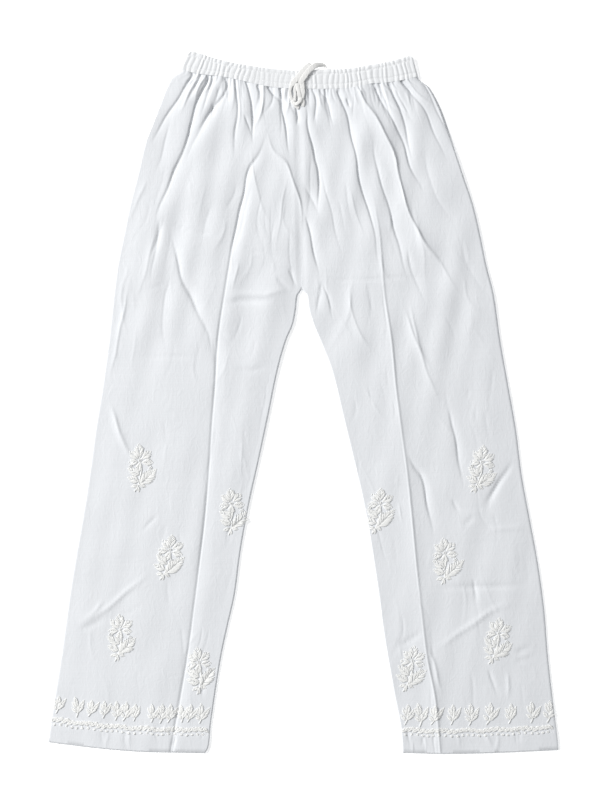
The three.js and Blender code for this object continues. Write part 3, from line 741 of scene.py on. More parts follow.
@dataclass
class FrontRelief:
    """Height of the front of one leg, with its loft, folds, gathers and fine wrinkles."""

    cut: LegCut
    wrinkles: tuple[Fold, ...]
    wide_fall: float = 46
    band_fall: float = 8
    fall_room: float = 70
    sharp_fall: float = 2
    sharp_west: float = 0.8
    sharp_east: float = 0.6
    calm_below: float = 120
    calm_share: float = 0.45

    def __post_init__(self) -> None:
        """Smooths the line of each fold."""
        self.loft = Curve(LOFT, "y", "rise")
        self.ribs = Ribs(self.cut.leg)
        self.swells = Swells()
        self.lines = [(fold, smooth_path(fold.path, FOLD_STEP)) for fold in (*FOLDS, *self.wrinkles)]

    def folded(self, x: Array, y: Array) -> Array:
        """Height that the folds add.

        Args:
            x: Places along X.
            y: Places along Y.

        Returns:
            The height at each point.
        """
        rise = np.zeros(x.shape)
        for fold, line in self.lines:
            room = fold.reach * FOLD_ROOM
            low, high = line.min(0) - room, line.max(0) + room
            near = (x > low[0]) & (x < high[0]) & (y > low[1]) & (y < high[1])
            if near.any():
                rise[near] += fold_height(fold, line, x[near], y[near])
        return rise

    def gathered(self, x: Array, y: Array) -> Array:
        """Height that the gathers add below the band, where they fade at uneven lengths.

        Args:
            x: Places along X.
            y: Places along Y.

        Returns:
            The height at each point.
        """
        below = np.maximum(BAND_BOTTOM.at(x) - y, 0)
        across = clamp(self.cut.across_of(x, y), 0, 1)
        share = mix(self.ribs.share_at(x), across, ease(below / TOP_BLEND))
        run = RIB_RUN * (1 + sum(wave.at(share) for wave in RIB_RUN_WAVES))
        return self.ribs.height(share) * np.exp(-below / run)

    def pressed(self, x: Array, y: Array) -> Array:
        """Height that the pressed crease and the centre seam add.

        Args:
            x: Places along X.
            y: Places along Y.

        Returns:
            The height at each point.
        """
        press = CREASE_PRESS[self.cut.leg]
        offset = x - self.cut.crease_line.at(y)
        strength = ease((press.start - y) / (press.start - press.full)) * (1 + PRESS_UNEVEN.at(y))
        dip = CENTRE_DIP * bump(x - self.cut.inner(y), CENTRE_DIP_REACH) * (y > CROTCH_Y)
        return press.depth * strength * fold_profile(press.shape, offset, np.full(x.shape, press.reach)) - dip

    def edge(self, x: Array, y: Array, below: Array) -> Array:
        """Fall of the cloth towards the side seam and the inseam.

        Args:
            x: Places along X.
            y: Places along Y.
            below: Distance below the band.

        Returns:
            The share of the height that is left.
        """
        low, high = self.cut.sides(y)
        above = np.maximum(y - CROTCH_Y, 0)
        from_low = np.hypot(x - low, above if self.cut.leg is Leg.LEFT else 0)
        from_high = np.hypot(x - high, above if self.cut.leg is Leg.RIGHT else 0)
        wide = mix(self.band_fall, self.wide_fall, ease(below / self.fall_room))
        west, east = ((1 - sharp) * ease(distance / wide) + sharp * ease(distance / self.sharp_fall)
                      for distance, sharp in ((from_low, self.sharp_west), (from_high, self.sharp_east)))
        return np.minimum(west, east)

    def rise(self, x: Array, y: Array) -> Array:
        """Height of the inner side of the front.

        Args:
            x: Places along X.
            y: Places along Y.

        Returns:
            The height over the front's base.
        """
        below = np.maximum(BAND_BOTTOM.at(x) - y, 0)
        calm = mix(1, self.calm_share, ease((self.calm_below - y) / self.calm_below))
        swell = self.swells.at(x, y) * ease(below / self.fall_room) * calm
        height = self.loft.at(y) + self.folded(x, y) + self.pressed(x, y) + self.gathered(x, y) + swell
        return np.maximum(height, 0) * self.edge(x, y, below)

    def upper(self, x: Array, y: Array) -> Array:
        """Height of the outer side of the front.

        Args:
            x: Places along X.
            y: Places along Y.

        Returns:
            The height over the floor.
        """
        above_hem = y - self.cut.hem(clamp(self.cut.across_of(x, y), 0, 1))
        hem = HEM_EXTRA * ease((HEM_DEPTH - above_hem) / HEM_STEP)
        lip = mix(HEM_LIP_SHARE, 1, ease(above_hem / HEM_LIP))
        return FRONT_BASE + (self.rise(x, y) + WALL + hem) * lip


class WrinkleKind(NamedTuple):
    """Fine folds of one kind: how many a leg has, where they start, and their size in millimetres."""

    count: int
    start: Range
    length: Range
    depth: Range
    reach: Range
    lean: float
    shapes: tuple[Across, ...]


WRINKLE_KINDS = (
    WrinkleKind(34, (0, 0), (10, 80), (0.35, 1.1), (4, 8), 5, (PLEAT, PLEAT, CREST)),
    WrinkleKind(18, (0.03, 0.3), (40, 150), (0.4, 0.9), (9, 18), 7, (PLEAT, CREST, TROUGH)),
    WrinkleKind(50, (0.12, 0.9), (24, 90), (0.15, 0.5), (6, 12), 9, (PLEAT, RIDGE, TROUGH)),
    WrinkleKind(12, (0.3, 0.92), (14, 40), (0.2, 0.5), (5, 9), 60, (RIDGE, TROUGH, PRESS)),
    WrinkleKind(14, (0.955, 0.975), (14, 34), (0.4, 0.9), (4, 8), 8, (RIDGE, TROUGH)),
)


@dataclass
class Wrinkles:
    """Fine folds between the main ones, the same at each run."""

    leg: Leg
    seed: int = 11
    sides: Range = (0.05, 0.95)
    bend: float = 0.14
    look_ahead: float = 0.04

    def rows(self) -> tuple[Fold, ...]:
        """Makes small folds that run mostly down the leg, uneven in length, depth and place.

        Returns:
            The folds.
        """
        dice = np.random.default_rng(self.seed + self.leg.value)
        cut = LegCut(self.leg)
        made = []
        for kind in WRINKLE_KINDS:
            for _ in range(kind.count):
                across, down = np.array(dice.uniform(*self.sides)), np.array(dice.uniform(*kind.start))
                x, y = (float(value) for value in cut.point(across, down))
                ahead_x, ahead_y = (float(value) for value in cut.point(across, down + self.look_ahead))
                angle = math.atan2(ahead_y - y, ahead_x - x) + math.radians(dice.normal(0, kind.lean))
                length, bend = dice.uniform(*kind.length), dice.normal(0, self.bend)
                mid = (x + length / 2 * math.cos(angle), y + length / 2 * math.sin(angle))
                end = (x + length * math.cos(angle + bend), y + length * math.sin(angle + bend))
                shape = kind.shapes[int(dice.integers(len(kind.shapes)))]
                made.append(Fold("wrinkle", shape, dice.uniform(*kind.depth), dice.uniform(*kind.reach),
                                 ((x, y), mid, end)))
        return tuple(made)


def add_piece(name: str, points: Array, faces: Sequence[Array], finish: bpy.types.Material,
              solid: str | None = None) -> bpy.types.Object:
    """Adds a smooth mesh that rides on the body.

    Args:
        name: Name of the piece.
        points: A row of three places in millimetres for each vertex.
        faces: Arrays of three or four vertex numbers for each face.
        finish: Material of the piece.
        solid: Node of the solid that the piece stands for.

    Returns:
        The object.
    """
    mesh = bpy.data.meshes.new(name)
    corners = np.concatenate([part.ravel() for part in faces]).astype(np.int32)
    sizes = np.concatenate([np.full(len(part), part.shape[1]) for part in faces])
    starts = np.concatenate([[0], np.cumsum(sizes)[:-1]]).astype(np.int32)
    mesh.vertices.add(len(points))
    mesh.vertices.foreach_set("co", (points * MM).astype(np.float32).ravel())
    mesh.loops.add(len(corners))
    mesh.loops.foreach_set("vertex_index", corners)
    mesh.polygons.add(len(starts))
    mesh.polygons.foreach_set("loop_start", starts)
    mesh.update(calc_edges=True)
    mesh.shade_smooth()
    mesh.set_sharp_from_angle(angle=math.radians(SHARP_ANGLE))
    mesh.materials.append(finish)
    piece = bpy.data.objects.new(name, mesh)
    bpy.context.scene.collection.objects.link(piece)
    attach(piece, BODY)
    if solid:
        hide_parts(solid)
    log.info("%s: %d triangles", name, int((sizes - 2).sum()))
    return piece


def closed_sheet(upper: Array, lower: Array) -> tuple[Array, list[Array]]:
    """Closed wall between two grids of points, whose rows run down and whose columns run along X.

    Args:
        upper: Points of the upper side.
        lower: Points of the lower side, as many or with half the steps each way.

    Returns:
        The points, and arrays of the vertex numbers of the faces.
    """
    grids = [np.arange(grid.shape[0] * grid.shape[1]).reshape(grid.shape[:2]) for grid in (upper, lower)]
    grids[1] += grids[0].size
    top, under = (np.stack([g[:-1, :-1], g[1:, :-1], g[1:, 1:], g[:-1, 1:]], -1).reshape(-1, 4)
                  for g in grids)
    over, rim = (np.concatenate([g[:, 0], g[-1, 1:], g[-2::-1, -1], g[0, -2:0:-1]]) for g in grids)
    step = len(over) // len(rim)
    corners = over[::step]
    side = [corners, rim, np.roll(rim, -1), np.roll(corners, -1)] + ([over[1::2]] if step == 2 else [])
    points = np.concatenate([upper.reshape(-1, 3), lower.reshape(-1, 3)])
    return points, [top, under[:, ::-1], np.stack(side, -1)]


def ring_quads(index: Array) -> Array:
    """Vertex numbers of the faces from each ring of points to the next, and from the last to the first."""
    beside = np.roll(index, -1, axis=1)
    return np.stack([index, beside, np.roll(beside, -1, axis=0), np.roll(index, -1, axis=0)], -1)


def facing_out(points: Array, middle: Array, *faces: Array) -> list[Array]:
    """Turns faces outward all together, told by the volume that the first ones close.

    Args:
        points: The points of the mesh.
        middle: A point that the first faces lie round.
        faces: Arrays of vertex numbers.

    Returns:
        The same arrays, turned where they have to be.
    """
    a, b, c = (points[faces[0][:, k]] - middle for k in range(3))
    inward = np.einsum("ij,ij->i", a, np.cross(b, c)).sum() < 0
    return [part[:, ::-1] if inward else part for part in faces]


def closed_ring(sections: Array) -> tuple[Array, list[Array]]:
    """Closed ring of sections that have the same number of points.

    Args:
        sections: Array of sections, their points, and three places.

    Returns:
        The points, and an array of four vertex numbers for each face.
    """
    index = np.arange(sections.shape[0] * sections.shape[1]).reshape(sections.shape[:2])
    points = sections.reshape(-1, 3)
    return points, facing_out(points, np.zeros(3), ring_quads(index).reshape(-1, 4))


class Stitch(NamedTuple):
    """One stitch of thread: its middle, its direction in radians, its size, and its lift."""

    x: float
    y: float
    angle: float
    length: float
    width: float
    height: float
    lift: float = 0.0


class StitchRing(NamedTuple):
    """A ring of a stitch's mesh: its share of the stitch's half size, and of its height."""

    reach: float
    height: float


STITCH_SIDES = 6
STITCH_RINGS = (StitchRing(1, 0), StitchRing(1, 0.35), StitchRing(0.76, 0.82))
STITCH_SINK = 0.25


def stitch_faces() -> Array:
    """Faces of one stitch, whose foot and top come after its rings.

    Returns:
        Three vertex numbers for each face.
    """
    ring = np.arange(STITCH_SIDES)
    after = (ring + 1) % STITCH_SIDES
    foot = np.full(STITCH_SIDES, STITCH_SIDES * len(STITCH_RINGS))
    faces = [np.stack([foot, after, ring], -1)]
    for level in range(len(STITCH_RINGS) - 1):
        low, high = level * STITCH_SIDES, (level + 1) * STITCH_SIDES
        faces.append(np.stack([ring + low, after + low, after + high], -1))
        faces.append(np.stack([ring + low, after + high, ring + high], -1))
    last = (len(STITCH_RINGS) - 1) * STITCH_SIDES
    faces.append(np.stack([ring + last, after + last, foot + 1], -1))
    return np.concatenate(faces)


def stitch_mesh(stitches: Sequence[Stitch], surface: Surface) -> tuple[Array, Array]:
    """Joined mesh of stitches that lie on a surface.

    Args:
        stitches: The stitches.
        surface: Gives the height of the cloth at each point.

    Returns:
        The points, and three vertex numbers for each face.
    """
    rows = np.array(stitches, float)
    x, y, angle, length, width, height, lift = (column[:, None] for column in rows.T)
    reach = np.append(np.repeat([ring.reach for ring in STITCH_RINGS], STITCH_SIDES), [0, 0])
    raised = np.append(np.repeat([ring.height for ring in STITCH_RINGS], STITCH_SIDES), [0, 1])
    turn = np.arange(STITCH_SIDES) * 2 * math.pi / STITCH_SIDES
    turns = np.append(np.tile(turn, len(STITCH_RINGS)), [0, 0])
    along, beside = np.cos(turns) * reach * length / 2, np.sin(turns) * reach * width / 2
    px = x + along * np.cos(angle) - beside * np.sin(angle)
    py = y + along * np.sin(angle) + beside * np.cos(angle)
    pz = surface(px, py) + np.where(raised > 0, lift + raised * height, -STITCH_SINK)
    points = np.stack([px, py, pz], -1).reshape(-1, 3)
    offsets = np.arange(len(rows))[:, None, None] * reach.size
    return points, (stitch_faces()[None] + offsets).reshape(-1, 3)


@dataclass
class Graph:
    """Adds nodes to one node tree and links them."""

    tree: bpy.types.NodeTree

    def add(self, kind: str, inputs: dict | None = None, **settings: object) -> bpy.types.Node:
        """Adds a node.

        Args:
            kind: Type of the node.
            inputs: A value or a socket for each input, by its name or number.
            settings: The node's own settings.

        Returns:
            The node.
        """
        node = self.tree.nodes.new(kind)
        for name, value in settings.items():
            setattr(node, name, value)
        for name, value in (inputs or {}).items():
            if isinstance(value, bpy.types.NodeSocket):
                self.tree.links.new(value, node.inputs[name])
            else:
                node.inputs[name].default_value = value
        return node

    def math(self, operation: str, first: object, second: object = 0.0) -> bpy.types.NodeSocket:
        """Result of a math node."""
        return self.add("ShaderNodeMath", {0: first, 1: second}, operation=operation).outputs[0]


def open_group(name: str, inputs: dict[str, str],
               outputs: dict[str, str]) -> tuple[Graph, bpy.types.Node, bpy.types.Node]:
    """Starts a shader node group.

    Args:
        name: Name of the group.
        inputs: Type of each input socket.
        outputs: Type of each output socket.

    Returns:
        The graph, its input node and its output node.
    """
    tree = bpy.data.node_groups.new(name, "ShaderNodeTree")
    for way, sockets in (("INPUT", inputs), ("OUTPUT", outputs)):
        for label, kind in sockets.items():
            tree.interface.new_socket(label, in_out=way, socket_type=kind)
    graph = Graph(tree)
    return graph, graph.add("NodeGroupInput"), graph.add("NodeGroupOutput")


STREAK_STRETCHES = ((900, 14, 14), (14, 900, 14))
WEAVE_SHARE = 0.35
STREAK_TONE = 1.6


def plain_weave_group() -> bpy.types.NodeTree:
    """Makes the group for the over and under of plain weave, with its thicker threads and streaks.

    Returns:
        The group.
    """
    graph, given, out = open_group(
        "Plain weave",
        {"Place": "NodeSocketVector", "Pitch": "NodeSocketFloat", "Streaks": "NodeSocketFloat"},
        {"Height": "NodeSocketFloat", "Tone": "NodeSocketFloat"},
    )
    split = graph.add("ShaderNodeSeparateXYZ", {0: given.outputs["Place"]})
    turns = graph.math("DIVIDE", math.pi, given.outputs["Pitch"])
    over = graph.math("SINE", graph.math("MULTIPLY", split.outputs["X"], turns))
    under = graph.math("SINE", graph.math("MULTIPLY", split.outputs["Y"], turns))
    weave = graph.math("MULTIPLY", over, under)
    streaks = []
    for stretch in STREAK_STRETCHES:
        place = graph.add("ShaderNodeMapping", {"Vector": given.outputs["Place"], "Scale": stretch})
        noise = graph.add("ShaderNodeTexNoise", {"Vector": place.outputs[0], "Scale": 1.0, "Detail": 2.0})
        streaks.append(noise.outputs["Fac"])
    uneven = graph.math("SUBTRACT", graph.math("ADD", streaks[0], streaks[1]), 1.0)
    raised = graph.math("MULTIPLY", uneven, given.outputs["Streaks"])
    height = graph.math("ADD", graph.math("MULTIPLY", weave, WEAVE_SHARE), raised)
    graph.tree.links.new(graph.math("ADD", height, 0.5), out.inputs["Height"])
    tone = graph.math("MULTIPLY", uneven, STREAK_TONE)
    graph.tree.links.new(graph.math("ADD", tone, 0.5), out.inputs["Tone"])
    return graph.tree


CREASE_ROUGHNESS = 0.55
CREASE_BEND = 0.6


def crumple_group() -> bpy.types.NodeTree:
    """Makes the group for fine creases that cloth keeps from wear and folding.

    Returns:
        The group.
    """
    graph, given, out = open_group(
        "Fine creases",
        {"Place": "NodeSocketVector", "Size": "NodeSocketFloat", "Stretch": "NodeSocketVector"},
        {"Height": "NodeSocketFloat"},
    )
    place = graph.add("ShaderNodeMapping", {"Vector": given.outputs["Place"],
                                            "Scale": given.outputs["Stretch"]})
    scale = graph.math("DIVIDE", 1.0, given.outputs["Size"])
    noise = graph.add("ShaderNodeTexNoise", {"Vector": place.outputs[0], "Scale": scale, "Detail": 3.0,
                                             "Roughness": CREASE_ROUGHNESS, "Distortion": CREASE_BEND})
    folded = graph.math("ABSOLUTE", graph.math("SUBTRACT", noise.outputs["Fac"], 0.5))
    graph.tree.links.new(graph.math("MULTIPLY", folded, 2.0), out.inputs["Height"])
    return graph.tree


@dataclass(frozen=True)
class ClothFinish:
    """A woven or spun cotton finish."""

    name: str
    light: Triple
    dark: Triple
    roughness: float
    sheen: float
    pitch: float
    streaks: float
    weave_depth: float
    crease_size: float
    crease_depth: float
    crease_stretch: Triple = (1.6, 0.8, 1.0)
    shine: float = 0.25
    sheen_spread: float = 0.5

    def material(self, weave: bpy.types.NodeTree, crumple: bpy.types.NodeTree) -> bpy.types.Material:
        """Makes the material.

        Args:
            weave: The plain weave group.
            crumple: The fine creases group.

        Returns:
            The material.
        """
        made = bpy.data.materials.new(self.name)
        made.use_nodes = True
        made.node_tree.nodes.clear()
        graph = Graph(made.node_tree)
        place = graph.add("ShaderNodeTexCoord").outputs["Object"]
        threads = graph.add("ShaderNodeGroup", {}, node_tree=weave)
        creases = graph.add("ShaderNodeGroup", {}, node_tree=crumple)
        for group in (threads, creases):
            graph.tree.links.new(place, group.inputs["Place"])
        threads.inputs["Pitch"].default_value = self.pitch * MM
        threads.inputs["Streaks"].default_value = self.streaks
        creases.inputs["Size"].default_value = self.crease_size * MM
        creases.inputs["Stretch"].default_value = self.crease_stretch
        tone = graph.add("ShaderNodeMix", {"Factor": threads.outputs["Tone"], "A": (*self.dark, 1),
                                           "B": (*self.light, 1)}, data_type="RGBA")
        soft = graph.add("ShaderNodeBump", {"Height": creases.outputs["Height"], "Strength": 1.0,
                                            "Distance": self.crease_depth * MM})
        fine = graph.add("ShaderNodeBump", {"Height": threads.outputs["Height"], "Strength": 1.0,
                                            "Distance": self.weave_depth * MM, "Normal": soft.outputs[0]})
        shader = graph.add("ShaderNodeBsdfPrincipled", {
            "Base Color": tone.outputs["Result"], "Roughness": self.roughness,
            "Specular IOR Level": self.shine, "Sheen Weight": self.sheen,
            "Sheen Roughness": self.sheen_spread, "Normal": fine.outputs[0],
        })
        out = graph.add("ShaderNodeOutputMaterial", {"Surface": shader.outputs[0]})
        out.target = "ALL"
        return made


CLOTHS = (
    ClothFinish("cotton", (0.74, 0.755, 0.78), (0.71, 0.725, 0.75),
                0.85, 0.08, 0.45, 0.5, 0.035, 14, 0.3),
    ClothFinish("waist cotton", (0.775, 0.785, 0.80), (0.74, 0.75, 0.765),
                0.85, 0.08, 0.45, 0.4, 0.035, 7, 0.25),
    ClothFinish("embroidery thread", (0.84, 0.842, 0.83), (0.80, 0.80, 0.79),
                0.65, 0.1, 0.3, 0.5, 0.03, 2, 0.05),
    ClothFinish("sewing thread", (0.90, 0.905, 0.91), (0.85, 0.855, 0.86),
                0.65, 0.1, 0.25, 0.5, 0.02, 2, 0.03),
    ClothFinish("drawstring tape", (0.79, 0.786, 0.775), (0.75, 0.745, 0.735),
                0.8, 0.08, 0.5, 0.5, 0.05, 4, 0.5),
)


def make_finishes() -> Finishes:
    """Makes the material of each cloth, by its name."""
    weave, crumple = plain_weave_group(), crumple_group()
    return {cloth.name: cloth.material(weave, crumple) for cloth in CLOTHS}


@dataclass
class LegPanels:
    """Front and back panel of one leg."""

    leg: Leg
    finishes: Finishes
    front_columns: int = 228
    front_rows: int = 308
    back_columns: int = 44
    back_rows: int = 130
    gather_rows: float = 1.2
    peek: float = 1.8
    peek_y: float = 405
    peek_reach: float = 60
    back_trough: float = 0.5
    back_share: float = -0.35
    cloth_width: float = 0.3
    cloth_length: float = 0.95
    front_area: float = 0.2

    def __post_init__(self) -> None:
        """Works out the outline and the relief of the front."""
        self.cut = LegCut(self.leg)
        self.relief = FrontRelief(self.cut, Wrinkles(self.leg).rows())

    def grid(self, rows: int, columns: int) -> tuple[Array, Array, Array, Array]:
        """Points of the panel, closer together near the waist.

        Args:
            rows: Steps down the leg.
            columns: Steps across it.

        Returns:
            The shares across and down, and the places along X and Y.
        """
        down = (np.arange(rows + 1) / rows) ** self.gather_rows
        down[-2] = 1 - HEM_LIP * MM / self.cloth_length
        across, down = np.meshgrid(np.arange(columns + 1) / columns, down)
        x, y = self.cut.point(across, down)
        return across, down, x, y

    def build_front(self) -> bpy.types.Object:
        """Makes the front panel, a thin wall that follows its gathers and folds.

        Returns:
            The object.
        """
        _, _, x, y = self.grid(self.front_rows, self.front_columns)
        high = np.stack([x, y, self.relief.upper(x, y)], -1)
        x, y = x[::2, ::2], y[::2, ::2]
        rise = self.relief.rise(x, y)
        rise[-1] = 0
        points, faces = closed_sheet(high, np.stack([x, y, FRONT_BASE + rise], -1))
        name = self.leg.label
        return add_piece(f"{name}_front_cloth", points, faces, self.finishes["cotton"],
                         f"{name}_front_leg")

    def build_back(self) -> bpy.types.Object:
        """Makes the back panel, flat where it rests, with shallow troughs in its outer side.

        Returns:
            The object.
        """
        across, _, x, y = self.grid(self.back_rows, self.back_columns)
        trough = clamp(self.back_share * self.relief.folded(x, y), 0, self.back_trough)
        if self.leg is Leg.LEFT:
            x = x + self.peek * bump(y - self.peek_y, self.peek_reach) * (across == 1)
        upper = np.stack([x, y, np.full(x.shape, WALL)], -1)
        points, faces = closed_sheet(upper, np.stack([x, y, trough], -1))
        name = self.leg.label
        return add_piece(f"{name}_back_cloth", points, faces, self.finishes["cotton"],
                         f"{name}_back_leg")

    def build(self) -> None:
        front, back = self.build_front(), self.build_back()


@dataclass
class Waistband:
    """Elastic casing of the waist, one ring of cloth, with its ribs on the outer side."""

    finishes: Finishes
    front_steps: int = 660
    back_steps: int = 330
    rows: int = 24
    back_thick: float = 3.6
    slot: float = 0.5
    front_thick: float = 2.7
    turn: float = 3
    end_round: float = 3
    corner: float = 9
    pinch: float = 0.4
    pinch_reach: float = 1.9
    pinch_ribs: float = 0.4
    rib_lean: Wave = Wave(0.14, 31)
    rib_twist: float = 4
    frill_from: float = 0.76
    frill_step: Wave = Wave(0.3, 57)
    frill_power: int = 6
    inner_room: float = 0.8
    upper_seam: float = 6.5
    lower_seam: float = 6.5
    top_round: float = 0.9
    scallop: float = 0.25
    back_show: float = 1.6
    back_show_place: float = 0.8
    back_show_reach: float = 0.19
    back_ribs: float = 0.9
    stitch_pitch: float = 3.2
    stitch_size: Triple = (2.3, 0.6, 0.35)
    stitch_reach: float = 0.004
    stitch_root: float = 1
    plain_ends: int = 2
    cloth_length: float = 0.88
    cloth_width: float = 0.03

    def __post_init__(self) -> None:
        """Takes the ribs of both legs and the width of the band."""
        self.leg_ribs = {leg: Ribs(leg) for leg in Leg}
        self.width = WAIST_BOTTOM[1] - WAIST_BOTTOM[0]
        self.middle = self.back_thick + self.slot / 2
        self.heights = np.linspace(0, 1, self.rows)

    def from_end(self, share: Array) -> Array:
        """Distance from the nearer end of the band."""
        return np.minimum(share, 1 - share) * self.width

    def place(self, share: Array, height: Array) -> tuple[Array, Array]:
        """Point of the band.

        Args:
            share: Place from 0 to 1 along the band, from the right end.
            height: Place from 0 to 1 up the band.

        Returns:
            Its places along X and Y.
        """
        bottom_x = mix(WAIST_BOTTOM[0], WAIST_BOTTOM[1], share)
        top_x = mix(WAIST_TOP[0], WAIST_TOP[1], share)
        past = 1 - clamp(self.from_end(share) / self.corner, 0, 1)
        top = BAND_TOP.at(top_x) - self.corner * (1 - np.sqrt(1 - past ** 2))
        return mix(bottom_x, top_x, height), mix(BAND_BOTTOM.at(bottom_x), top, height)

    def ribs(self, share: Array, height: Array) -> Array:
        """Height of the ribs, in line at the lower edge with the gathers of the leg panels.

        Args:
            share: Place from 0 to 1 along the band, from the right end.
            height: Place from 0 to 1 up the band.

        Returns:
            The height.
        """
        x = mix(WAIST_BOTTOM[0], WAIST_BOTTOM[1], share)
        lean = self.rib_lean._replace(start=self.rib_twist * height).at(share)
        step = self.frill_step.at(share) * (height > self.frill_from)
        shift = (lean + step) * ease(self.rib_twist * height)
        right, left = (ribs.height(ribs.share_at(x), shift) for ribs in self.leg_ribs.values())
        return np.where(x < CENTRE_SEAM[0].x, right, left)

    def front_height(self, share: Array, height: Array) -> Array:
        """Height of the front's outer side, pinched at its two rows of stitching.

        Args:
            share: Place from 0 to 1 along the band, from the right end.
            height: Place from 0 to 1 up the band.

        Returns:
            The height.
        """
        x, _ = self.place(share, height)
        length = BAND_TOP.at(x) - BAND_BOTTOM.at(x)
        up, down = height * length, (1 - height) * length
        pinch = np.maximum(bump(up - self.lower_seam, self.pinch_reach),
                           bump(down - self.upper_seam, self.pinch_reach))
        rise = self.ribs(share, height) * (1 - self.pinch_ribs * pinch)
        rise -= self.pinch * pinch + self.top_round * np.exp(-down)
        outer = self.back_thick + self.slot + self.front_thick
        return mix(self.middle, outer + rise, self.end_share(share))

    def end_share(self, share: Array) -> Array:
        """Share of the band's thickness that is left where it turns over at its ends."""
        return np.sqrt(1 - (1 - clamp(self.from_end(share) / self.end_round, 0, 1)) ** 2)

    def section(self, share: float, outer: Array, wall: float, lift: float) -> Array:
        """Section across the band.

        Args:
            share: Place from 0 to 1 along the band, from the right end.
            outer: Heights of its outer side, from the lower to the upper edge.
            wall: Height of its inner side.
            lift: How far its upper edge stands up.

        Returns:
            Its points, the outer ones first.
        """
        x, y = self.place(np.full(self.rows, share), self.heights)
        away = float(self.from_end(share))
        inside = max(away, mix(away, self.turn, self.inner_room)) / self.width
        ix, iy = self.place(np.full(2, inside if share < 0.5 else 1 - inside), np.array([1.0, 0.0]))
        level = mix(self.middle, wall, min(away / self.turn, 1))
        outside = np.stack([x, y + self.heights ** self.frill_power * lift, outer], -1)
        return np.concatenate([outside, np.stack([ix, iy, np.full(2, level)], -1)])

    def front_section(self, share: float) -> Array:
        """Section across the front, ribbed on its outer side.

        Args:
            share: Place from 0 to 1 along the band, from the right end.

        Returns:
            Its points.
        """
        outer = self.front_height(np.full(self.rows, share), self.heights)
        frill = float(self.ribs(np.array(share), np.array(1.0))) / RIB_RISE - 0.5
        return self.section(share, outer, self.back_thick + self.slot, self.scallop * frill)

    def back_section(self, share: float) -> Array:
        """Section across the back, ribbed underneath and a little higher where it shows.

        Args:
            share: Place from 0 to 1 along the band, from the right end.

        Returns:
            Its points.
        """
        here = np.full(self.rows, share)
        ribs = clamp(self.back_ribs - self.ribs(here, self.heights), 0, self.back_ribs)
        lift = self.back_show * float(bump(np.array(share - self.back_show_place), self.back_show_reach))
        return self.section(share, mix(self.middle, ribs, self.end_share(here)), self.back_thick, lift)

    def build_casing(self) -> bpy.types.Object:
        """Makes the ring of cloth, out along the front and home along the back.

        Returns:
            The object.
        """
        front = [self.front_section(k / self.front_steps) for k in range(self.front_steps + 1)]
        back = [self.back_section(k / self.back_steps) for k in range(self.back_steps - 1, 0, -1)]
        points, faces = closed_ring(np.array(front + back))
        return add_piece("waist_casing", points, faces, self.finishes["waist cotton"],
                         "waistband")

    def stitch(self, share: float, height: float) -> Stitch:
        """Lays a stitch on the front of the band.

        Args:
            share: Place from 0 to 1 along the band, from the right end.
            height: Place from 0 to 1 up the band.

        Returns:
            The stitch.
        """
        (ax, ay), (bx, by) = (self.place(np.array(share + reach), np.array(height))
                              for reach in (-self.stitch_reach, self.stitch_reach))
        level = float(self.front_height(np.array(share), np.array(height)))
        angle = math.atan2(by - ay, bx - ax)
        return Stitch((ax + bx) / 2, (ay + by) / 2, angle, *self.stitch_size, level)

    def build_stitching(self) -> bpy.types.Object:
        """Makes the two rows of stitches on the front of the band.

        Returns:
            The object.
        """
        stitches = []
        count = int(self.width / self.stitch_pitch)
        for share in (np.arange(count - 2 * self.plain_ends) + self.plain_ends + 0.5) / count:
            foot, _ = self.place(np.array(share), np.array(0.0))
            length = float(BAND_TOP.at(foot) - BAND_BOTTOM.at(foot))
            stitches += [self.stitch(share, self.lower_seam / length),
                         self.stitch(share, 1 - self.upper_seam / length)]
        points, faces = stitch_mesh(stitches, lambda x, y: np.zeros(x.shape))
        sunk = points[:, 2] <= 0
        points[sunk, 2] = self.back_thick + self.slot + self.front_thick - self.stitch_root
        return add_piece("waist_stitching", points, [faces], self.finishes["sewing thread"])

    def build(self) -> None:
        casing, stitching = self.build_casing(), self.build_stitching()


class Motif(Enum):
    """Part of an embroidered flower."""

    PETAL = "filled from its middle line, widest near its tip"
    LEAF = "filled from its middle line, widest near its foot"
    STEM = "line of slanted stitches"
    KNOTS = "group of raised knots"


WIDEST = {Motif.PETAL: 1.25, Motif.LEAF: 0.85}


class Element(NamedTuple):
    """Part of a motif: where it starts from, its direction in degrees, and its size."""

    motif: Motif
    x: float
    y: float
    angle: float
    length: float
    width: float


SPRIG_ELEMENTS = (
    Element(Motif.PETAL, 0, 14, 91, 18, 12),
    Element(Motif.PETAL, -2, 12, 136, 15, 10),
    Element(Motif.PETAL, 3, 12, 36, 17, 10),
    Element(Motif.PETAL, -3, 8, 180, 13, 9),
    Element(Motif.PETAL, 3, 7.5, -8, 14, 9.5),
    Element(Motif.LEAF, 0, 7, -104, 15, 8),
    Element(Motif.KNOTS, 0, 10, 0, 5, 4),
    Element(Motif.STEM, 1, 4, -98, 18, 2.4),
    Element(Motif.STEM, -1.5, -13, -114, 20, 2.4),
    Element(Motif.LEAF, -3, -9, 146, 19, 11),
    Element(Motif.LEAF, -4, -17, 158, 16, 10),
    Element(Motif.LEAF, -1, -21, 43, 31, 16),
    Element(Motif.LEAF, -3, -22, -28, 9, 5),
    Element(Motif.LEAF, -6, -24, -76, 9, 4.5),
    Element(Motif.LEAF, -6, -23, 196, 9, 4.5),
    Element(Motif.KNOTS, 13, -1, 0, 5, 4),
    Element(Motif.KNOTS, -13, 3, 0, 5, 3),
)
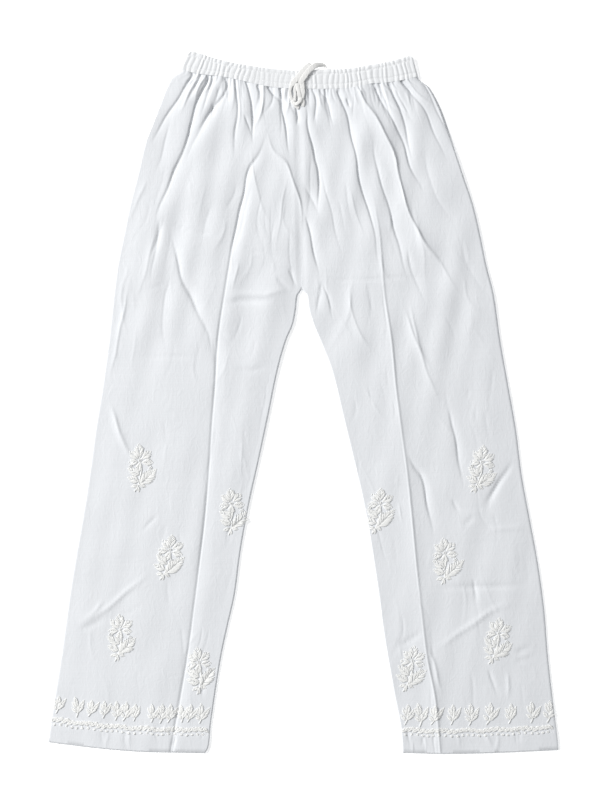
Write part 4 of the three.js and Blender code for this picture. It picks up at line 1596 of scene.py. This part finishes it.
BUD_ELEMENTS = (
    Element(Motif.PETAL, 0, -3, 96, 16, 6),
    Element(Motif.PETAL, -1, -4, 122, 13, 5),
    Element(Motif.LEAF, 0, -9, 62, 21, 7),
    Element(Motif.LEAF, -1, -9, 138, 10, 4.5),
    Element(Motif.STEM, 1, -1, -104, 14, 2.2),
)
CHAIN_ELEMENTS = (
    Element(Motif.LEAF, -5.5, -2, 27, 11, 5),
    Element(Motif.LEAF, -0.5, 2.5, -33, 10, 5),
    Element(Motif.KNOTS, 0, -6.5, 0, 3, 2.5),
)


def turned(x: float, y: float, angle: float) -> tuple[float, float]:
    """Point turned about the origin by an angle in radians."""
    return x * math.cos(angle) - y * math.sin(angle), x * math.sin(angle) + y * math.cos(angle)


@dataclass
class NeedleWork:
    """Turns the parts of a motif into stitches, uneven as by hand but the same at each run."""

    seed: int = 7
    pitch: float = 1.1
    thread: float = 1.55
    height: float = 0.5
    dome: float = 0.7
    foot_slant: float = 60
    tip_slant: float = 22
    slant_spread: float = 6
    shortest: float = 1.6
    overlap: float = 1.1
    places: Range = (0.2, 0.8)
    reaches: Range = (0.85, 1.15)
    heights: Range = (0.8, 1.2)
    stem_pitch: float = 1.3
    stem_bow: float = 0.08
    stem_slant: float = 0.5
    stem_spread: float = 0.1
    stem_height: float = 1.1
    knot_count: int = 6
    knot_places: Range = (0.3, 1)
    knot_size: Triple = (1.8, 1.5, 1.2)
    turn_spread: float = 4
    part_lengths: Range = (0.92, 1.08)

    def __post_init__(self) -> None:
        """Starts the dice."""
        self.dice = np.random.default_rng(self.seed)

    def fill(self, part: Element) -> list[Stitch]:
        """Fills a petal or leaf with stitches that fan out from its middle line, raised in its middle.

        Args:
            part: The petal or leaf.

        Returns:
            The stitches.
        """
        made = []
        count = max(3, round(part.length / self.pitch))
        for side in (-1, 1):
            for k in range(count):
                t = (k + self.dice.uniform(*self.places)) / count
                room = math.sin(math.pi * t ** WIDEST[part.motif])
                out = part.width / 2 * room * self.dice.uniform(*self.reaches)
                slant = mix(self.foot_slant, self.tip_slant, t) + self.dice.normal(0, self.slant_spread)
                slant = math.radians(slant)
                length = clamp(out / math.sin(slant), self.shortest, part.length / 2) * self.overlap
                along = t * part.length - length / 2 * math.cos(slant)
                height = self.height * self.dice.uniform(*self.heights)
                made.append(Stitch(along, side * out / 2, side * slant, length, self.thread, height,
                                   self.dome * room))
        return made

    def line(self, part: Element) -> list[Stitch]:
        """Lays slanted stitches along a stem that bows a little.

        Args:
            part: The stem.

        Returns:
            The stitches.
        """
        made = []
        count = round(part.length / self.stem_pitch)
        for k in range(count):
            along = (k + 0.5) * part.length / count
            bow = self.stem_bow * part.length * math.sin(math.pi * along / part.length)
            slant = self.stem_slant + self.dice.normal(0, self.stem_spread)
            made.append(Stitch(along, bow, slant, part.width, self.thread, self.stem_height))
        return made

    def knots(self, part: Element) -> list[Stitch]:
        """Lays small round knots in a group.

        Args:
            part: The group.

        Returns:
            The knots.
        """
        made = []
        for k in range(self.knot_count):
            far, turn = self.dice.uniform(*self.knot_places) / 2, k * 2 * math.pi / self.knot_count
            made.append(Stitch(far * part.length * math.cos(turn), far * part.width * math.sin(turn), turn,
                               *self.knot_size))
        return made

    def stitches(self, elements: Sequence[Element], x: float, y: float, tilt: float,
                 size: float = 1) -> list[Stitch]:
        """Stitches of a whole motif.

        Args:
            elements: Parts of the motif.
            x: Place of its middle along X.
            y: Place of its middle along Y.
            tilt: Its turn in degrees, anticlockwise.
            size: Its size over the size that the parts give.

        Returns:
            The stitches in place.
        """
        made = []
        lean = math.radians(tilt)
        ways = {Motif.STEM: self.line, Motif.KNOTS: self.knots, Motif.PETAL: self.fill, Motif.LEAF: self.fill}
        for part in elements:
            turn = math.radians(part.angle + self.dice.normal(0, self.turn_spread))
            part = part._replace(length=part.length * self.dice.uniform(*self.part_lengths))
            for stitch in ways[part.motif](part):
                across, up = turned(stitch.x, stitch.y, turn)
                across, up = turned(part.x + across, part.y + up, lean)
                made.append(stitch._replace(x=x + size * across, y=y + size * up,
                                            angle=stitch.angle + turn + lean, length=stitch.length * size))
        return made


class SprigRow(NamedTuple):
    """Place of an embroidered sprig, with its turn in degrees."""

    name: str
    leg: Leg
    x: float
    y: float
    tilt: float


SPRIGS = (
    SprigRow("right_knee_outer", Leg.RIGHT, -227, -92, 4),
    SprigRow("right_calf_middle", Leg.RIGHT, -187, -217, -8),
    SprigRow("right_knee_inner", Leg.RIGHT, -99, -152, 6),
    SprigRow("right_calf_outer", Leg.RIGHT, -255, -328, 2),
    SprigRow("right_calf_inner", Leg.RIGHT, -144, -374, 8),
    SprigRow("left_knee_outer", Leg.LEFT, 249, -94, -6),
    SprigRow("left_knee_inner", Leg.LEFT, 107, -152, -4),
    SprigRow("left_calf_middle", Leg.LEFT, 199, -221, 6),
    SprigRow("left_calf_outer", Leg.LEFT, 272, -333, -6),
    SprigRow("left_calf_inner", Leg.LEFT, 152, -372, -6),
)
BORDER_SPRIGS = {
    Leg.RIGHT: (-342, -315, -295, -277, -260, -246, -234, -210, -196, -185, -169, -157, -142),
    Leg.LEFT: (146, 165, 185, 210, 235, 263, 291, 321, 346),
}
BUD_SIZE = {Leg.RIGHT: 0.95, Leg.LEFT: 1.1}


@dataclass
class Embroidery:
    """Sprigs and hem border of one leg."""

    panels: LegPanels
    finishes: Finishes
    needle: NeedleWork = field(default_factory=NeedleWork)
    sprig_size: float = 1.05
    bud_height: float = 56
    bud_tilt: float = -6
    bud_sizes: Wave = Wave(0.08, 1.7)
    bud_tilts: Wave = Wave(9, 2.1)
    chain_y: float = -455
    chain_height: float = 32.5
    chain_pitch: float = 8
    chain_end: float = 3
    chain_heights: Wave = Wave(1, 1.3)
    chain_tilts: Wave = Wave(10, 0.9)
    side_room: float = 1
    near_hem: float = -450
    hem_seam_y: float = -460
    hem_seam_in: float = 2
    hem_pitch: float = 3.4
    hem_stitch: Triple = (2.3, 0.55, 0.3)

    def on_panel(self, stitches: Sequence[Stitch]) -> list[Stitch]:
        """Leaves out the stitches that miss the front.

        Args:
            stitches: Stitches on and past the front of the leg.

        Returns:
            Those on the front.
        """
        kept = []
        for stitch in stitches:
            low, _, high = self.panels.cut.edges(np.array(stitch.y))
            if low + self.side_room < stitch.x < high - self.side_room:
                kept.append(stitch)
        return kept

    def build_threads(self, name: str, solid: str, stitches: Sequence[Stitch]) -> None:
        """Makes one piece of embroidery in place of its solid."""
        points, faces = stitch_mesh(self.on_panel(stitches), self.panels.relief.upper)
        add_piece(name, points, [faces], self.finishes["embroidery thread"], solid)

    def build_sprigs(self) -> None:
        """Makes each sprig of the leg as one piece of thread."""
        for row in (each for each in SPRIGS if each.leg is self.panels.leg):
            stitches = self.needle.stitches(SPRIG_ELEMENTS, row.x, row.y, row.tilt, self.sprig_size)
            self.build_threads(f"threads_{row.name}", f"sprig_{row.name}", stitches)

    def hem_point(self, x: float, above: float) -> tuple[float, float]:
        """Point over the hem.

        Args:
            x: Its place along X.
            above: Its height over the hem.

        Returns:
            Its places along X and Y.
        """
        cut = self.panels.cut
        across = clamp(cut.across_of(np.array(float(x)), np.array(self.near_hem)), 0, 1)
        return x, float(cut.hem(across)) + above

    def build_border(self) -> None:
        """Makes the row of small sprigs and the leafy chain above the hem."""
        leg = self.panels.leg
        stitches = []
        for k, x in enumerate(BORDER_SPRIGS[leg]):
            place = self.hem_point(x, self.bud_height)
            size, tilt = BUD_SIZE[leg] + self.bud_sizes.at(k), self.bud_tilt + self.bud_tilts.at(k)
            stitches += self.needle.stitches(BUD_ELEMENTS, *place, tilt, size)
        low, _, high = self.panels.cut.edges(np.array(self.chain_y))
        for k in range(int((high - low - 2 * self.chain_end) / self.chain_pitch)):
            x = float(low) + self.chain_end + (k + 0.5) * self.chain_pitch
            place = self.hem_point(x, self.chain_height + self.chain_heights.at(k))
            stitches += self.needle.stitches(CHAIN_ELEMENTS, *place, self.chain_tilts.at(k))
        self.build_threads(f"threads_{leg.label}_border", f"{leg.label}_hem_border", stitches)

    def build_hem_stitching(self) -> None:
        """Makes the row of stitches that holds the turned-up hem."""
        low, _, high = (float(value) for value in self.panels.cut.edges(np.array(self.hem_seam_y)))
        above = HEM_DEPTH - self.hem_seam_in
        stitches = []
        for k in range(int((high - low - 2 * self.hem_seam_in) / self.hem_pitch)):
            x, y = self.hem_point(low + self.hem_seam_in + (k + 0.5) * self.hem_pitch, above)
            _, ahead = self.hem_point(x + 1, above)
            stitches.append(Stitch(x, y, math.atan2(ahead - y, 1), *self.hem_stitch))
        points, faces = stitch_mesh(stitches, self.panels.relief.upper)
        name = f"{self.panels.leg.label}_hem_stitching"
        add_piece(name, points, [faces], self.finishes["sewing thread"])

    def build(self) -> None:
        """Makes all the needlework of the leg."""
        self.build_sprigs()
        self.build_border()
        self.build_hem_stitching()


TIE_ROUTES = {
    Leg.RIGHT: ((7.8, 468.1, 3.2), (10.3, 470.4, 3.9), (11.2, 471.6, 6.3), (9.4, 471, 8.6),
                (5.9, 468.6, 9.4), (-0.4, 462, 9.6), (-8.9, 451.3, 9.4), (-15.4, 443.4, 9.3)),
    Leg.LEFT: ((29.5, 467.4, 3.2), (31.2, 468.8, 4.4), (28.6, 470.6, 6.3), (22, 471, 8.2),
               (15.8, 469, 9.6), (8.4, 462.8, 10), (1, 453, 10), (-4.6, 444.4, 9.8)),
}


class Loop(NamedTuple):
    """A length of tape in the knot: its width and thickness, and the points that it runs through."""

    label: str
    width: float
    thick: float
    route: tuple[tuple[float, float, float], ...]


KNOT_LOOPS = (
    Loop("body", 7, 2, ((-2, 448, 9.2), (-1, 440, 9.7), (-0.5, 432, 9.6), (-2.5, 424, 9.2), (-5, 417, 8.4))),
    Loop("middle", 5.5, 2, ((-8, 445, 9.4), (-7, 438, 9.9), (-5.5, 430, 10.2), (-4.5, 424, 9.8),
                            (-3.5, 418, 8.8))),
    Loop("left strand", 4, 1.8, ((-10, 443, 9), (-11.5, 437, 9), (-11, 430, 8.8), (-11.5, 424, 8.6),
                                 (-12.5, 418, 8.4))),
    Loop("left loop", 4.4, 1.8, ((-12, 445.5, 9), (-16, 441.5, 9), (-18.2, 436, 8.9), (-18, 430, 8.7),
                                 (-16, 423.5, 8.5), (-13.5, 418.5, 8.3))),
    Loop("wrap", 5, 2.2, ((-15.5, 421, 8.6), (-13, 417, 9.6), (-9, 416, 10.4), (-5, 419.5, 10.6),
                          (-2, 425, 9.8))),
    Loop("left end", 5, 1.8, ((-12, 416, 8.6), (-9, 412.5, 8.2), (-5.5, 410.6, 7.8))),
    Loop("right end", 4.5, 1.8, ((-0.5, 422, 9), (0.5, 417, 8.6), (-0.5, 412.5, 7.9))),
)


@dataclass
class Drawstring:
    """Two flat ties of tape over the front of the band, and their knot."""

    finishes: Finishes
    width: float = 7.4
    thick: float = 1.7
    sides: int = 20
    step: float = 1
    settle: float = 0.2
    flatness: Range = (0.4, 0.6)
    bunched: float = 0.5
    bunched_run: float = 14
    steep: float = 0.3
    end_size: float = 0.82
    swells: tuple[Wave, ...] = (Wave(0.06, 0.8), Wave(0.04, 0.31, 1))

    def settled(self, line: Array) -> list[tuple[Array, Array]]:
        """Works out how the tape lies along its line, as it settles towards level.

        Args:
            line: Points of its line.

        Returns:
            The directions across and up the tape at each point.
        """
        ahead = np.gradient(line, axis=0)
        ahead /= np.linalg.norm(ahead, axis=1)[:, None]
        beside = np.cross(ahead[0], UP)
        if np.linalg.norm(beside) < self.steep:
            beside = np.array([1.0, 0, 0])
        made = []
        for forward in ahead:
            level = np.cross(forward, UP)
            beside = beside + self.settle * level * np.sign(np.dot(level, beside))
            beside = beside - forward * np.dot(beside, forward)
            beside = beside / np.linalg.norm(beside)
            made.append((beside, np.cross(beside, forward)))
        return made

    def tube(self, route: Sequence[Sequence[float]], width: float, thick: float,
             bunched: float = 1) -> tuple[Array, Array, list[Array]]:
        """Sweeps a flat rounded section along a route.

        Args:
            route: Points that the tape runs through.
            width: Width of the tape.
            thick: Thickness of the tape.
            bunched: Share of the width that is left where it comes over the edge of the band.

        Returns:
            The centre line, the points, and the faces of the sides and of the ends.
        """
        line = smooth_path(route, self.step)
        turn = np.arange(self.sides) * 2 * math.pi / self.sides
        out, over = (np.sign(wave) * np.abs(wave) ** power
                     for wave, power in zip((np.cos(turn), np.sin(turn)), self.flatness))
        rows = []
        for k, (middle, (beside, up)) in enumerate(zip(line, self.settled(line))):
            wide = mix(bunched, 1, float(ease(k * self.step / self.bunched_run)))
            wide *= (1 + sum(wave.at(k) for wave in self.swells)) * width / 2
            end = self.end_size if k in (0, len(line) - 1) else 1.0
            rows.append(middle + (out[:, None] * beside * wide + over[:, None] * up * thick / 2) * end)
        index = np.arange(len(line) * self.sides).reshape(len(line), self.sides)
        after, first = np.roll(index, -1, axis=1), np.full(self.sides, index.size)
        caps = np.concatenate([np.stack([first, after[0], index[0]], -1),
                               np.stack([first + 1, index[-1], after[-1]], -1)])
        points = np.concatenate([*rows, line[:1], line[-1:]])
        return line, points, facing_out(points, line[0], ring_quads(index)[:-1].reshape(-1, 4), caps)

    def build_knot(self) -> bpy.types.Object:
        """Makes the loose knot out of loops of the same tape.

        Returns:
            The object.
        """
        points, quads, caps = [], [], []
        count = 0
        for loop in KNOT_LOOPS:
            _, own, (sides, ends) = self.tube(loop.route, loop.width, loop.thick)
            points.append(own)
            quads.append(sides + count)
            caps.append(ends + count)
            count += len(own)
        faces = [np.concatenate(quads), np.concatenate(caps)]
        return add_piece("tie_knot", np.concatenate(points), faces, self.finishes["drawstring tape"],
                         "drawstring_knot")

    def build(self) -> None:
        knot = self.build_knot()
        for leg, route in TIE_ROUTES.items():
            line, points, faces = self.tube(route, self.width, self.thick, self.bunched)
            piece = add_piece(f"tie_{leg.label}", points, faces, self.finishes["drawstring tape"],
                              f"drawstring_{leg.label}")


@dataclass
class Studio:
    """Camera straight above, soft light from the upper left, and a white floor lit from within."""

    pixel: float = 1.4
    middle: Range = (-4.2, 2.8)
    image_height: int = 800
    lens: float = 100
    sensor: float = 36
    key_power: float = 560
    key_place: Triple = (-5.2, 2.1, 4.1)
    key_size: float = 2.6
    key_colour: Triple = (1.0, 0.995, 0.985)
    sky: float = 0.42
    sky_colour: Colour = (0.97, 0.985, 1.0, 1)
    floor_size: float = 6
    floor_drop: float = 0.2
    floor_dark: Colour = (0.97, 0.97, 0.97, 1)
    floor_light: Colour = (0.99, 0.99, 0.99, 1)
    floor_roughness: float = 0.9
    floor_glow: float = 0.45

    def camera(self) -> None:
        """Places the camera so that one pixel of the photo is one pixel of the render."""
        data = bpy.data.cameras.new("camera")
        data.lens, data.sensor_width, data.sensor_fit = self.lens, self.sensor, "AUTO"
        span = self.image_height * self.pixel * MM
        camera = bpy.data.objects.new("camera", data)
        camera.location = (self.middle[0] * MM, self.middle[1] * MM, span * self.lens / self.sensor)
        self.scene.collection.objects.link(camera)
        self.scene.camera = camera

    def lights(self) -> None:
        """Places the key light and sets the sky."""
        data = bpy.data.lights.new("key", "AREA")
        data.energy, data.size, data.color = self.key_power, self.key_size, self.key_colour
        key = bpy.data.objects.new("key", data)
        key.location = self.key_place
        key.rotation_euler = (-Vector(self.key_place)).to_track_quat("-Z", "Y").to_euler()
        self.scene.collection.objects.link(key)
        world = bpy.data.worlds.new("sky")
        world.use_nodes = True
        background = world.node_tree.nodes["Background"]
        background.inputs["Color"].default_value = self.sky_colour
        background.inputs["Strength"].default_value = self.sky
        self.scene.world = world
        self.scene.view_settings.view_transform = "Standard"

    def floor_finish(self) -> bpy.types.Material:
        """Makes the floor's pale material, which glows so that it shows plain white.

        Returns:
            The material.
        """
        made = bpy.data.materials.new("pale floor")
        made.use_nodes = True
        graph = Graph(made.node_tree)
        noise = graph.add("ShaderNodeTexNoise", {"Scale": 3.0, "Detail": 2.0})
        tone = graph.add("ShaderNodeMix", {"Factor": noise.outputs["Fac"], "A": self.floor_dark,
                                           "B": self.floor_light}, data_type="RGBA")
        inputs = made.node_tree.nodes["Principled BSDF"].inputs
        graph.tree.links.new(tone.outputs["Result"], inputs["Base Color"])
        inputs["Roughness"].default_value = self.floor_roughness
        inputs["Emission Color"].default_value = (1, 1, 1, 1)
        inputs["Emission Strength"].default_value = self.floor_glow
        return made

    def floor(self) -> None:
        """Lays the floor."""
        half, drop = self.floor_size / 2, self.floor_drop * MM
        corners = [(-half, -half, -drop), (half, -half, -drop), (half, half, -drop), (-half, half, -drop)]
        mesh = bpy.data.meshes.new("floor")
        mesh.from_pydata(corners, [], [(0, 1, 2, 3)])
        mesh.materials.append(self.floor_finish())
        floor = bpy.data.objects.new("floor", mesh)
        self.scene.collection.objects.link(floor)

    def build(self) -> None:
        """Sets the whole studio."""
        self.scene = bpy.context.scene
        self.camera()
        self.lights()
        self.floor()


def main() -> None:
    """Builds the trousers and the studio."""
    logging.basicConfig(level=logging.INFO, format="%(name)s: %(message)s")
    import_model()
    finishes = make_finishes()
    Studio().build()
    Drawstring(finishes).build()
    for leg in Leg:
        panels = LegPanels(leg, finishes)
        panels.build()
        Embroidery(panels, finishes).build()
    Waistband(finishes).build()


if __name__ == "__main__":
    main()
